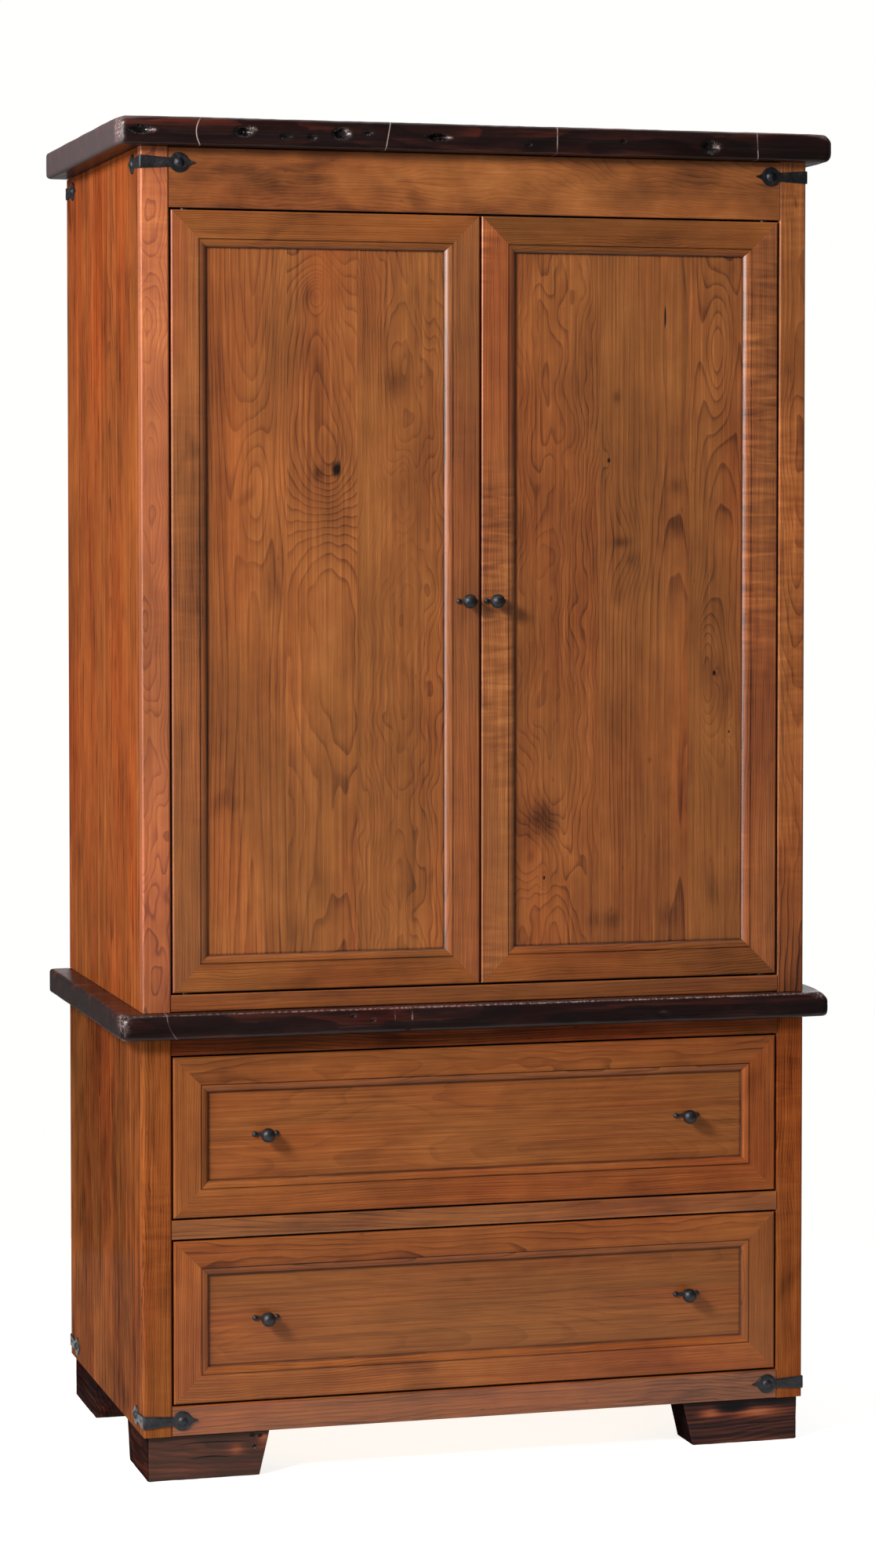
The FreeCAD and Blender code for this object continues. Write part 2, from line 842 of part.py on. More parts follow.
def foot_beam(label, length, taper, corner, turn, side):
    """A short beam along X from a mitred end at X = 0 to a leaning end; side says which way it is thick."""
    body = new_body(label)
    elevation = [(0, 0), (length - taper, 0), (length, d.foot_height), (0, d.foot_height)]
    pad(body, outline(body, "XZ_Plane", elevation), d.foot_beam, side > 0)
    beam = d.foot_beam * side
    pocket(body, outline(body, "XY_Plane", [(0, 0), (beam * side, beam), (0, beam)]), d.foot_height, True)
    place(body, corner, turn)
    return body


def front_foot(side_name, side):
    """A bracket foot of two mitred beams, one along the front and one along the side of the case."""
    corner = ((half_case - d.foot_inset) * side, d.front_plane + d.foot_inset, as_size(0))
    label = f"front_{side_name}_foot"
    along_front = foot_beam(f"{label}_front_beam", d.front_foot_length, d.front_foot_taper,
                            corner, 180 if side > 0 else 0, -side)
    along_side = foot_beam(f"{label}_side_beam", d.front_foot_return, d.front_foot_return_taper,
                           corner, 90, side)
    return group(label, [along_front, along_side])


def back_foot(side_name, side):
    """A plain block foot along the side of the case."""
    outer = half_case - d.foot_inset
    start = outer - d.foot_beam if side > 0 else -outer
    return board(f"back_{side_name}_foot", (start, case_back - d.foot_inset - d.back_foot_length, as_size(0)),
                 (d.foot_beam, d.back_foot_length, d.foot_height))


# ---------------------------------------------------------------- corner straps

def strap_outline():
    """One leg of a strap: a tapering bar from the corner, a round disc, and a spade-shaped tip."""
    centre = d.strap_disc_reach
    disc = d.strap_disc_radius
    neck = d.strap_neck_half_width
    spade = d.spade_half_width
    neck_at = centre - (disc * disc - neck * neck).root()
    spade_at = centre + (disc * disc - spade * spade).root()
    lower = [
        (-d.strap_thickness, -d.strap_half_width),
        (neck_at, -neck),
        (spade_at, -spade),
        (d.spade_reach, -d.spade_tip_half_width),
    ]
    upper = [(across, -up) for across, up in reversed(lower)]
    arcs = {1: (disc, -1), 2: (d.spade_radius, 1), 4: (d.spade_radius, 1), 5: (disc, -1)}
    return lower + upper, arcs


def corner_strap(label, corner, turn):
    """A strap bent round a corner, with one leg along its own X and the other along its own Y."""
    corners, arcs = strap_outline()
    body = new_body(label)
    pad(body, outline(body, "XZ_Plane", corners, arcs), d.strap_thickness)
    pad(body, outline(body, "YZ_Plane", corners, arcs), d.strap_thickness, True)
    place(body, corner, turn)
    return body


def nail(label, at, outward, radius, height):
    """A domed nail head: the cap of a sphere, flat side at a point and dome towards outward."""
    sphere_radius = (radius * radius + height * height) / (height * 2)
    head = doc.addObject("Part::Sphere", label)
    bind(head, "Radius", sphere_radius)
    head.setExpression("Angle1", f"asin(1 - {height.text} / {sphere_radius.text})")
    inset = sphere_radius - height
    base = [as_size(part) - inset * way for part, way in zip(at, outward)]
    head.Placement = Placement(Vector(*(part.value for part in base)), Rotation(Vector(0, 0, 1), Vector(*outward)))
    for name, part in zip("xyz", base):
        bind(head, f"Placement.Base.{name}", part)
    return head


def make_straps():
    """A strap round every corner under the top slab and over the feet, each held by three nails."""
    straps = []
    nails = []
    corners = (("front_left", -1, -1, 0), ("front_right", 1, -1, 90),
               ("back_right", 1, 1, 180), ("back_left", -1, 1, -90))
    levels = (("upper", upper_top - d.strap_from_edge), ("lower", lower_bottom + d.strap_from_edge))
    for level_name, level in levels:
        for corner_name, side, end, turn in corners:
            name = f"{level_name}_{corner_name}"
            edge = half_case * side
            face = case_back if end > 0 else d.front_plane
            straps.append(corner_strap(f"corner_straps_{name}", (edge, face, level), turn))
            face_nail = (edge - d.strap_disc_reach * side, face + d.strap_thickness * end, level)
            side_face = edge + d.strap_thickness * side
            side_nail = (side_face, face - d.strap_disc_reach * end, level)
            small_nail = (side_face, face - d.small_nail_reach * end, level)
            nails += [
                nail(f"nail_{name}_face", face_nail, (0, end, 0), d.nail_radius, d.nail_height),
                nail(f"nail_{name}_side", side_nail, (side, 0, 0), d.nail_radius, d.nail_height),
                nail(f"nail_{name}_small", small_nail, (side, 0, 0), d.small_nail_radius, d.small_nail_height),
            ]
    return [group("corner_straps", straps), group("strap_nails", nails)]


# ---------------------------------------------------------------- the whole armoire

def make_armoire():
    pieces = make_cases() + make_shelf_fittings()
    for side_name, side in (("left", -1), ("right", 1)):
        pieces += make_door(side_name, side)
        pieces += [front_foot(side_name, side), back_foot(side_name, side)]
    pieces += [make_pivot_pins(), make_catches()]
    pieces += make_drawer("lower", lower_drawer_floor, d.lower_drawer_opening)
    pieces += make_drawer("upper", upper_drawer_floor, d.upper_drawer_opening)
    pieces += make_slide_supports()
    pieces += make_straps()
    return pieces


def check(pieces):
    """Stops if any object failed or any piece has no valid shape."""
    for thing in doc.Objects:
        if "Invalid" in thing.State or "Error" in thing.State:
            raise RuntimeError(f"{thing.Label} failed: {thing.State}")
    for piece in pieces:
        if piece.Shape.isNull() or not piece.Shape.isValid():
            raise RuntimeError(f"{piece.Label} has no valid shape")


pieces = make_armoire()
doc.recompute()
check(pieces)
os.makedirs("parts", exist_ok=True)
for piece in pieces:
    piece.Shape.exportStep(f"parts/{piece.Label}.step")
print(len(pieces), "nodes")
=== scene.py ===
import math
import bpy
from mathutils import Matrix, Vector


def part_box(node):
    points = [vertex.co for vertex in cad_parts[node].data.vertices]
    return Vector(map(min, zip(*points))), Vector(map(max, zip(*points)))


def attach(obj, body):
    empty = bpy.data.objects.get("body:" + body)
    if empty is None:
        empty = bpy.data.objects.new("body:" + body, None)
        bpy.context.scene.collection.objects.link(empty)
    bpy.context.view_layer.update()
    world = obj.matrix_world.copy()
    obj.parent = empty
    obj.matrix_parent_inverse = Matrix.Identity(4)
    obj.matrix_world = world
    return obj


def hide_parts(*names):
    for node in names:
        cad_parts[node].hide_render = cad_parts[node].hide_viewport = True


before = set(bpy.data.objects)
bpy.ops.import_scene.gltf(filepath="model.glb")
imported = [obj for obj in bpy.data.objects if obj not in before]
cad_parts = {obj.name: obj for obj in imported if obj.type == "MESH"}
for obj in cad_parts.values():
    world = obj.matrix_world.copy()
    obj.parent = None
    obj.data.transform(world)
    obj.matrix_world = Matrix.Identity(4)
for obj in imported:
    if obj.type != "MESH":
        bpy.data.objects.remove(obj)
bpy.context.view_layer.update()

import zlib

import bmesh
import bpy
import numpy as np
from mathutils import Vector


# ---- materials as arithmetic

def linear(red, green, blue):
    """A colour given as the eye sees it, 0 to 255, as the linear values that a shader takes."""
    steps = [part / 255 for part in (red, green, blue)]
    return tuple(s / 12.92 if s <= 0.04045 else ((s + 0.055) / 1.055) ** 2.4 for s in steps) + (1.0,)


class Field:
    """A number that a material works out at each point of the surface, as ordinary arithmetic."""

    def __init__(self, paint, socket):
        self.paint = paint
        self.socket = socket

    def __add__(self, other):
        return self.paint.math("ADD", self, other)

    __radd__ = __add__

    def __sub__(self, other):
        return self.paint.math("SUBTRACT", self, other)

    def __rsub__(self, other):
        return self.paint.math("SUBTRACT", other, self)

    def __mul__(self, other):
        return self.paint.math("MULTIPLY", self, other)

    __rmul__ = __mul__

    def __truediv__(self, other):
        return self.paint.math("DIVIDE", self, other)


class Paint:
    """One material; each call adds a node and gives its output as a Field."""

    def __init__(self, name):
        self.material = bpy.data.materials.new(name)
        self.material.use_nodes = True
        self.tree = self.material.node_tree
        self.shader = self.tree.nodes["Principled BSDF"]
        self.axes = None

    def node(self, kind, **settings):
        made = self.tree.nodes.new(kind)
        for key, value in settings.items():
            setattr(made, key, value)
        return made

    def put(self, value, socket):
        if isinstance(value, Field):
            self.tree.links.new(value.socket, socket)
        else:
            socket.default_value = value

    def math(self, operation, first, second=0.0, third=0.0):
        made = self.node("ShaderNodeMath", operation=operation)
        for value, socket in zip((first, second, third), made.inputs):
            self.put(value, socket)
        return Field(self, made.outputs[0])

    def place(self):
        """The point's own x, y and z in the row frame, in metres."""
        if self.axes is None:
            where = self.node("ShaderNodeTexCoord")
            parts = self.node("ShaderNodeSeparateXYZ")
            self.tree.links.new(where.outputs["Object"], parts.inputs[0])
            self.axes = {name: Field(self, parts.outputs[number]) for number, name in enumerate("xyz")}
        return self.axes

    def here(self):
        return tuple(self.place().values())

    def far_off(self, first, second):
        """How far from the origin a point (first, second) lies."""
        return self.math("SQRT", first * first + second * second)

    def spot(self, first, second, mark, roughen=0.0):
        """1 in the middle of a soft mark, falling off; mark is both middles, then both half sizes."""
        first_at, second_at, half_first, half_second = mark
        run = (first - first_at) / half_first
        rise = (second - second_at) / half_second
        return self.math("EXPONENT", (run * run + rise * rise) * -1.0 - roughen)

    def point(self, first, second, third):
        made = self.node("ShaderNodeCombineXYZ")
        for value, socket in zip((first, second, third), made.inputs):
            self.put(value, socket)
        return Field(self, made.outputs[0])

    def noise(self, at, scales=(1, 1, 1), detail=2.0, rough=0.5, bend=0.0):
        """Smooth noise from 0 to 1 around 0.5, at a point (three Fields) times the scales."""
        scaled = self.point(*(part * scale for part, scale in zip(at, scales)))
        made = self.node("ShaderNodeTexNoise")
        self.put(scaled, made.inputs["Vector"])
        made.inputs["Scale"].default_value = 1.0
        made.inputs["Detail"].default_value = detail
        made.inputs["Roughness"].default_value = rough
        made.inputs["Distortion"].default_value = bend
        return Field(self, made.outputs[0])

    def cells(self, at, scales=(1, 1, 1), feature="F1"):
        scaled = self.point(*(part * scale for part, scale in zip(at, scales)))
        made = self.node("ShaderNodeTexVoronoi", feature=feature)
        self.put(scaled, made.inputs["Vector"])
        made.inputs["Scale"].default_value = 1.0
        return Field(self, made.outputs["Distance"])

    def step(self, value, low, high, to_low=0.0, to_high=1.0):
        """Goes smoothly from to_low at low to to_high at high."""
        made = self.node("ShaderNodeMapRange", interpolation_type="SMOOTHSTEP")
        for given, socket in zip((value, low, high, to_low, to_high), made.inputs):
            self.put(given, socket)
        return Field(self, made.outputs[0])

    def ramp(self, value, stops):
        """A colour from stops of (position, colour)."""
        made = self.node("ShaderNodeValToRGB")
        ramp = made.color_ramp
        while len(ramp.elements) < len(stops):
            ramp.elements.new(0.5)
        for element, (position, colour) in zip(ramp.elements, stops):
            element.position = position
            element.color = colour
        self.put(value, made.inputs[0])
        return Field(self, made.outputs[0])

    def mix(self, share, first, second, blend="MIX"):
        """Goes from the first colour to the second as share goes from 0 to 1."""
        made = self.node("ShaderNodeMix", data_type="RGBA", blend_type=blend)
        self.put(share, made.inputs[0])
        self.put(first, made.inputs[6])
        self.put(second, made.inputs[7])
        return Field(self, made.outputs[2])

    def finish(self, colour, rough, height, depth, **sockets):
        """Wires colour, roughness and a bump depth metres deep; sockets are set on the shader itself."""
        self.put(colour, self.shader.inputs["Base Color"])
        self.put(rough, self.shader.inputs["Roughness"])
        bump = self.node("ShaderNodeBump")
        bump.inputs["Strength"].default_value = 1.0
        bump.inputs["Distance"].default_value = depth
        self.put(height, bump.inputs["Height"])
        self.tree.links.new(bump.outputs[0], self.shader.inputs["Normal"])
        for name, value in sockets.items():
            self.shader.inputs[name.replace("_", " ").title().replace("Ior", "IOR")].default_value = value
        return self.material


def seeded(name):
    return np.random.default_rng(zlib.crc32(name.encode()))


def far_place(name):
    """A seeded place in the endless noise, so that no two materials look alike."""
    return [float(part) for part in seeded(name).uniform(3, 9, 3)]


# ---- cherry

CHERRY = [
    (0.00, linear(38, 18, 9)),
    (0.20, linear(73, 38, 18)),
    (0.42, linear(105, 58, 28)),
    (0.58, linear(122, 70, 33)),
    (0.80, linear(146, 88, 44)),
    (1.00, linear(172, 112, 62)),
]
CHERRY_RED = linear(204, 108, 36)
CHERRY_OLIVE = linear(98, 66, 30)
# the pink of a painted sheen, standing in for the light from the left
PAINTED_SHEEN_PINK = linear(176, 96, 70)
KNOT_DARK = linear(20, 10, 7)
RING_PITCH = 0.004
BOARD_JUMP = 1.7  # how far apart in the noise two neighbouring boards lie
CHERRY_RELIEF = 0.00014


def third_axis(first, second):
    return ({"x", "y", "z"} - {first, second}).pop()


def grain_point(paint, along, across):
    """The point as (along the grain, across the face, through the board)."""
    place = paint.place()
    return place[along], place[across], place[third_axis(along, across)]


def grain_noise(paint, at):
    """Noise given by its scale along the grain and its scale across it."""
    return lambda along, across, *more: paint.noise(at, (along, across, across), *more)


def cherry(node, along, across, hearts, seams=(), knots=(), eyes=(), stains=(), slits=(), wave=1.0,
        curl=0.0, red=0.0, olive=0.0, tone=0.0, lines=1.0, clouds=1.0, gum_runs=0.0, gloss=0.25,
        lacquer=0.3, lacquer_rough=0.15, fibres=1.0, painted_left_sheen=0.0, mitre=None, grime=None):
    """Paints a node as lacquered cherry.

    hearts are the tree's heart behind each board, as (place across, depth behind the face, lean along the
    grain, wildness of the figure); seams are the places across where the next board starts. knots are
    (along, across, size, pull on the rings), eyes are swellings that the rings run round, as (along,
    across, half length, half width, pull), stains are (along, across, half length, half width, strength)
    and slits the same without strength. wave bends the rings and curl adds a rippled figure. lines,
    clouds, fibres and gum_runs are how strong the rings, the light and dark patches, the fine grain and
    the dark runs of gum are. red and olive move the hue, and blush paints the wood pinker towards the
    left, a painted highlight of the light from that side. gloss, lacquer and lacquer_rough are the
    wood's own shine and its coat. mitre and grime take the paint and give where the grain turns and
    how much painted shade darkens the quirk beside the bead and the edge of the panel.
    """
    name = f"cherry_{node}"
    paint = Paint(name)
    step = paint.step
    length, width, depth = grain_point(paint, along, across)
    if mitre:
        swap = mitre(paint)
        length, width = length + (width - length) * swap, width + (length - width) * swap
    board = 0.0
    heart = [float(part) for part in hearts[0]]
    for seam, here, following in zip(seams, hearts, hearts[1:]):
        beyond = paint.math("GREATER_THAN", width, seam)
        board = beyond + board
        heart = [beyond * (b - a) + part for part, a, b in zip(heart, here, following)]
    at = [part + (far + BOARD_JUMP * (number + 1) * board) for number, (part, far) in enumerate(zip((length,
        width, depth), far_place(name)))]
    noise = grain_noise(paint, at)

    slow = noise(0.9, 2.6, 1.0)
    slow_too = paint.noise((at[1], at[2], at[0]), (2.8, 2.8, 1.5), 1.0)
    middle = noise(4.5, 15)
    wild = step(noise(1.9, 6, 1.0), 0.52, 0.66)
    quick = noise(24, 60)
    sway = (slow - 0.5) * (0.045 * wave) + (middle - 0.5) * (0.007 * wave)
    sway = sway + (quick - 0.5) * (0.0075 * wave) * wild
    off = width - heart[0] + sway
    deep = depth + heart[1] + (slow_too - 0.5) * (0.075 * wave) + heart[2] * length
    lobes = noise(6.5, 15, 2.0, 0.45)
    radius = paint.far_off(off, deep) + (lobes - 0.5) * (heart[3] * 0.036)
    for *mark, pull in eyes:
        radius = radius + paint.spot(length, width, mark) * pull
    dark = 0.0
    for along_at, across_at, size, pull in knots:
        radius = radius + paint.spot(length, width, (along_at, across_at, size * 7.0, size * 2.6)) * pull
        away = paint.far_off((length - along_at) / (size * 1.5), (width - across_at) / size)
        dark = step(away + (quick - 0.5) * 1.6, 1.25, 0.35) + dark
    rings = radius / RING_PITCH + noise(0.6, 26, 1.0) * 2.2
    phase = paint.math("FRACT", rings)
    line = step(phase, 0.66, 0.95) * step(phase, 1.0, 0.965)
    fade = noise(2.6, 14)
    line = line * step(fade, 0.3, 0.66, 0.25, 1.0)

    fibre = noise(9, 700, 2.0, 0.6)
    cord = noise(4.5, 300, 2.0, 0.6)
    streak = noise(1.6, 150, 3.0, 0.65)
    cloud = noise(3.2, 7.5, 3.0, 0.55)
    mottle = noise(15, 24, 3.0, 0.6)
    stain = step(noise(6.0, 17, 2.0, 0.5, 0.6), 0.6, 0.8)
    value = 0.55 + tone + (fibre - 0.5) * (0.5 * fibres) + (streak - 0.5) * (0.46 * fibres)
    value = value + (cord - 0.5) * (0.3 * fibres) + (cloud - 0.5) * (0.56 * clouds)
    value = value + (mottle - 0.5) * (0.3 * clouds) - stain * (0.16 * clouds)
    value = value - line * (0.19 * lines) - phase * fade * (0.13 * lines)
    # Painted shade: darker in the quirk beside the bead and along the panel's edge, where shade falls.
    if grime:
        value = value - grime(paint)
    if curl:
        patch = step(noise(2.1, 4, 1.0), 0.42, 0.62)
        value = value + (noise(75, 11, 2.0, 0.5, 0.8) - 0.5) * curl * patch
    for *mark, strength in stains:
        value = value - paint.spot(length, width, mark, (mottle - 0.5) * 2.0) * strength
    for along_at, across_at, half_long, half_wide in slits:
        run = (length - along_at) / half_long
        side = (width - across_at + (middle - 0.5) * half_wide * 2) / half_wide
        dark = step(run * run + side * side, 1.0, 0.5) + dark
    if gum_runs:
        value = value - step(noise(9, 170, 1.0), 0.59, 0.68) * gum_runs
        value = value + step(noise(1.2, 45, 1.0), 0.55, 0.68) * (gum_runs * 0.6)
    gum = step(paint.cells(at, (22, 95, 95)), 0.13, 0.05) * step(noise(7, 13, 1.0), 0.6, 0.66)
    value = value - gum * 0.22

    colour = paint.ramp(value, CHERRY)
    hue = noise(1.7, 6)
    colour = paint.mix(step(hue, 0.45, 0.75, red, red + 0.22), colour, CHERRY_RED, "SOFT_LIGHT")
    colour = paint.mix(step(hue, 0.55, 0.3, olive, olive + 0.2), colour, CHERRY_OLIVE)
    # Painted highlight: pinker towards the left, a painted sheen of the light from that side.
    if painted_left_sheen:
        share = step(cloud, 0.35, 0.6, painted_left_sheen * 0.6, painted_left_sheen) * step(width, 0.3, -0.3)
        colour = paint.mix(share, colour, PAINTED_SHEEN_PINK)
    rough = 0.36 + (fibre - 0.5) * 0.1 + line * 0.05
    height = (fibre - 0.5) * 0.35 + (streak - 0.5) * 0.4 - line * 0.3
    if knots or slits:
        colour = paint.mix(paint.math("MINIMUM", dark, 1.0), colour, KNOT_DARK)
        height = height - dark * 4.0
    paint_node(node, paint.finish(colour, rough, height, CHERRY_RELIEF, specular_ior_level=gloss,
        coat_weight=lacquer, coat_roughness=lacquer_rough))


def box_mid(node, axis):
    low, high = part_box(node)
    number = "xyz".index(axis)
    return (low[number] + high[number]) / 2


def paint_node(node, material):
    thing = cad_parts[node]
    thing.data.materials.clear()
    thing.data.materials.append(material)


def plain_cherry(node, along, across, wildness=0.2, **more):
    """A cherry board whose heart lies at a seeded place behind it."""
    rng = seeded(node + "_heart")
    heart = (box_mid(node, across) + rng.uniform(-0.08, 0.08), -box_mid(node, third_axis(along, across)) +
        rng.uniform(0.03, 0.1), rng.uniform(-0.02, 0.02), wildness)
    cherry(node, along, across, [heart], **more)


# ---- other woods, metal and plastic

RECLAIMED = [
    (0.00, linear(9, 6, 7)),
    (0.30, linear(20, 12, 12)),
    (0.50, linear(32, 19, 17)),
    (0.66, linear(66, 33, 24)),
    (0.82, linear(104, 54, 34)),
    (1.00, linear(136, 78, 48)),
]
RUST = linear(150, 62, 34)
FADED = linear(66, 47, 38)
# pale colour of a painted sheen on the slabs' end faces
END_SHEEN_PALE = linear(104, 90, 92)
# colour of the dark cracks and of painted shade in the gouges' pits
CRACK_DARK_AND_PIT_SHADE = linear(10, 7, 8)
# pale colour of painted glints on the crumbs in the pits
CRUMB_GLINT = linear(178, 172, 172)
BREAK_PALE = linear(158, 140, 132)
# pale colour of worn rubs and of painted highlights
RUB_AND_HIGHLIGHT_PALE = linear(146, 124, 120)
TIMBER_RELIEF = 0.0003


def reclaimed(name, along, across, tone=0.0, contrast=1.0, heart=(0.0, 0.05), top=None, cracks=(),
        breaks=(), pits=(), ruddy=0.0, pitch=0.006, glow=(), rubs_and_highlights=(), front=0.0, shine=1.0, faded=0.0,
        ends=(0.0, 0.0), end_sheen=0.0):
    """Old dark-stained timber under a satin lacquer.

    cracks run with the grain: (start, end, place through the board, bow); breaks run across it: (place
    along, lean, bow, strength); pits are (along, height, half length, half height), and their hollows
    are darkened as painted shade, with pale specks raised in the bump and painted as glints. glow marks
    bare reddish patches the same way, then their strength, and rubs pale ones without it: partly real
    worn spots, partly painted highlight on the corners, the top front edge and the gouges' rims. top is
    the height of the worn upper edge, and breaks and rubs stay near the face at front. shine scales the
    lacquer, faded greys the whole, and bloom is a pale painted sheen, a painted reflection of the lights,
    on the two end faces, which lie at ends.
    """
    paint = Paint(name)
    step = paint.step
    length, width, depth = grain_point(paint, along, across)
    at = [part + far for part, far in zip((length, width, depth), far_place(name))]
    noise = grain_noise(paint, at)
    height_axis = paint.place()["z"]

    slow = noise(2.0, 6)
    middle = noise(9, 26, 3.0)
    off = width - heart[0] + (slow - 0.5) * 0.05 + (middle - 0.5) * 0.01
    deep = depth - heart[1] + (middle - 0.5) * 0.012
    phase = paint.math("FRACT", paint.far_off(off, deep) / pitch + noise(0.8, 30, 1.0) * 2.0)
    line = step(phase, 0.15, 0.85) * step(phase, 1.0, 0.9)
    streak = noise(2.4, 60, 4.0, 0.62, 0.3)
    fine = noise(12, 420, 2.0, 0.6)
    cloud = noise(4, 16, 3.0, 0.6)
    value = 0.42 + tone + ((streak - 0.5) * 0.85 + (cloud - 0.5) * 0.55 - line * 0.16) * contrast
    value = value + (fine - 0.5) * 0.24
    if top is not None:
        value = value + step(height_axis, top - 0.0035, top - 0.0005, 0.0, 0.12)
        value = value + step(height_axis, top - 0.018, top - 0.004, 0.0, 0.07)
    for *mark, strength in glow:
        value = value + paint.spot(length, height_axis, mark, (middle - 0.5) * 3.0) * strength
    colour = paint.ramp(value, RECLAIMED)
    rust = step(noise(5, 19), 0.48, 0.7, ruddy, ruddy + 0.35)
    colour = paint.mix(rust, colour, RUST, "SOFT_LIGHT")
    if faded:
        colour = paint.mix(faded, colour, FADED)
    # Painted reflection: a pale sheen on the two end faces, standing in for the lights they mirror.
    if end_sheen:
        middle_at, half = (ends[0] + ends[1]) / 2, (ends[1] - ends[0]) / 2
        from_middle = paint.math("ABSOLUTE", length - middle_at)
        colour = paint.mix(step(from_middle, half - 0.01, half - 0.002, 0.0, end_sheen), colour, END_SHEEN_PALE)

    split = 0.0
    rise = noise(7, 7)
    for start, end, level, bow in cracks:
        run = (length - (start + end) / 2) / ((end - start) / 2)
        line_at = height_axis - level - (1.0 - run * run) * bow + (rise - 0.5) * 0.006
        width_here = paint.math("MAXIMUM", (1.0 - run * run) * 0.0011, 0.00002)
        inside = step(paint.math("ABSOLUTE", run), 1.0, 0.9)
        split = step(paint.math("ABSOLUTE", line_at) / width_here, 1.0, 0.45) * inside + split
    # Painted shade: the pits darken the gouges' hollows, where shade falls.
    pit = 0.0
    for along_at, height_at, half_long, half_high in pits:
        away = paint.far_off((length - along_at) / half_long, (height_axis - height_at) / half_high)
        pit = step(away + (middle - 0.5) * 0.9, 1.15, 0.55) + pit
    dark = paint.math("MINIMUM", split + pit * 0.85, 1.0)
    colour = paint.mix(dark, colour, CRACK_DARK_AND_PIT_SHADE)
    # Pale specks in the pits: raised crumbs in the bump, and in colour a painted glint of light on them.
    crumb_glints = 0.0
    if pits:
        grit = paint.cells(at, (330, 330, 330))
        crumb_glints = step(grit, 0.3, 0.12) * step(pit, 0.05, 0.5) * step(pit, 1.0, 0.6)
        colour = paint.mix(crumb_glints * 0.55, colour, CRUMB_GLINT)
    if breaks or rubs_and_highlights:
        near_front = step(width, front + 0.055, front + 0.016)
    if breaks:
        worn = 0.0
        for along_at, lean, bow, strength in breaks:
            below = height_axis - top
            curve = below + 0.022
            line_at = length - along_at - below * lean - curve * curve * bow + (rise - 0.5) * 0.004
            worn = step(paint.math("ABSOLUTE", line_at), 0.0011, 0.0003, 0.0, strength) + worn
        faint = step(noise(60, 60, 1.0), 0.32, 0.62, 0.15, 0.85) * near_front
        colour = paint.mix(worn * faint, colour, BREAK_PALE)
    # Pale rubs: partly real worn spots and scratches, partly painted highlight on the corners, the top front
    # edge and the gouges' rims.
    for mark in rubs_and_highlights:
        patchy_speckle = step(noise(190, 190, 3.0, 0.65), 0.46, 0.6, 0.06, 0.8)
        near = paint.spot(length, height_axis, mark) * near_front
        colour = paint.mix(near * patchy_speckle, colour, RUB_AND_HIGHLIGHT_PALE)
    rough = 0.4 + (fine - 0.5) * 0.12 + (cloud - 0.5) * 0.1
    height = (fine - 0.5) * 0.25 + (streak - 0.5) * 0.9 - line * 0.25 - dark * 3.0 + crumb_glints * 1.5
    return paint.finish(colour, rough, height, TIMBER_RELIEF, specular_ior_level=0.25 * shine,
        coat_weight=0.3 * shine, coat_roughness=0.16)


def pale_wood(name, along, across, colours, lines=0.5, rough=0.5):
    """Unlacquered maple or plywood in three colours, from dark to light."""
    paint = Paint(name)
    length, width, depth = grain_point(paint, along, across)
    noise = grain_noise(paint, [part + far for part, far in zip((length, width, depth), far_place(name))])
    sway = (noise(1.4, 5) - 0.5) * 0.05
    phase = paint.math("FRACT", (width + sway) / 0.007 + noise(0.5, 22, 1.0) * 2.0)
    line = paint.step(phase, 0.35, 0.92) * paint.step(phase, 1.0, 0.95)
    fibre = noise(14, 520, 2.0, 0.6)
    value = 0.5 + (fibre - 0.5) * 0.35 + (noise(3, 10, 3.0, 0.6) - 0.5) * 0.5 - line * lines * 0.3
    colour = paint.ramp(value, [(stop, linear(*shade)) for stop, shade in zip((0.15, 0.5, 0.85), colours)])
    height = (fibre - 0.5) - line * 0.4
    return paint.finish(colour, rough + (fibre - 0.5) * 0.1, height, 0.00012, specular_ior_level=0.4)


def forged_iron(name):
    paint = Paint(name)
    at = paint.here()
    dimple = paint.cells(at, (210, 210, 210), "SMOOTH_F1")
    # grime here is the iron's own uneven colour, not painted shade.
    grime = paint.noise(at, (90, 90, 90), 4.0, 0.65)
    fine = paint.noise(at, (900, 900, 900), 2.0)
    colour = paint.ramp(grime, [(0.25, linear(17, 17, 19)), (0.55, linear(33, 33, 37)), (0.8, linear(58, 52,
        52))])
    rough = 0.46 + (grime - 0.5) * 0.3
    height = dimple * 0.8 + (grime - 0.5) * 0.35 + (fine - 0.5) * 0.1
    return paint.finish(colour, rough, height, 0.0005, metallic=0.55, specular_ior_level=0.5)


def bright_metal(name, dark, light, brushed, rough=0.32):
    paint = Paint(name)
    at = paint.here()
    hair = paint.noise(at, tuple(8 if axis == brushed else 1300 for axis in "xyz"), 2.0, 0.7)
    tarnish = paint.noise(at, (40, 40, 40), 4.0, 0.6)
    colour = paint.ramp(tarnish * 0.7 + hair * 0.3, [(0.3, linear(*dark)), (0.65, linear(*light))])
    return paint.finish(colour, rough + (hair - 0.5) * 0.25, hair + tarnish, 0.00003, metallic=1.0)


def moulded_plastic(name, colour_at):
    paint = Paint(name)
    at = paint.here()
    pebble = paint.noise(at, (1400, 1400, 1400), 2.0)
    scuff = paint.noise(at, (60, 60, 60), 3.0)
    base = linear(*colour_at)
    worn = linear(*(min(255, part + 26) for part in colour_at))
    colour = paint.ramp(scuff, [(0.45, base), (0.75, worn)])
    return paint.finish(colour, 0.5 + (scuff - 0.5) * 0.2, pebble, 0.00005, specular_ior_level=0.4)


# ---- mesh helpers

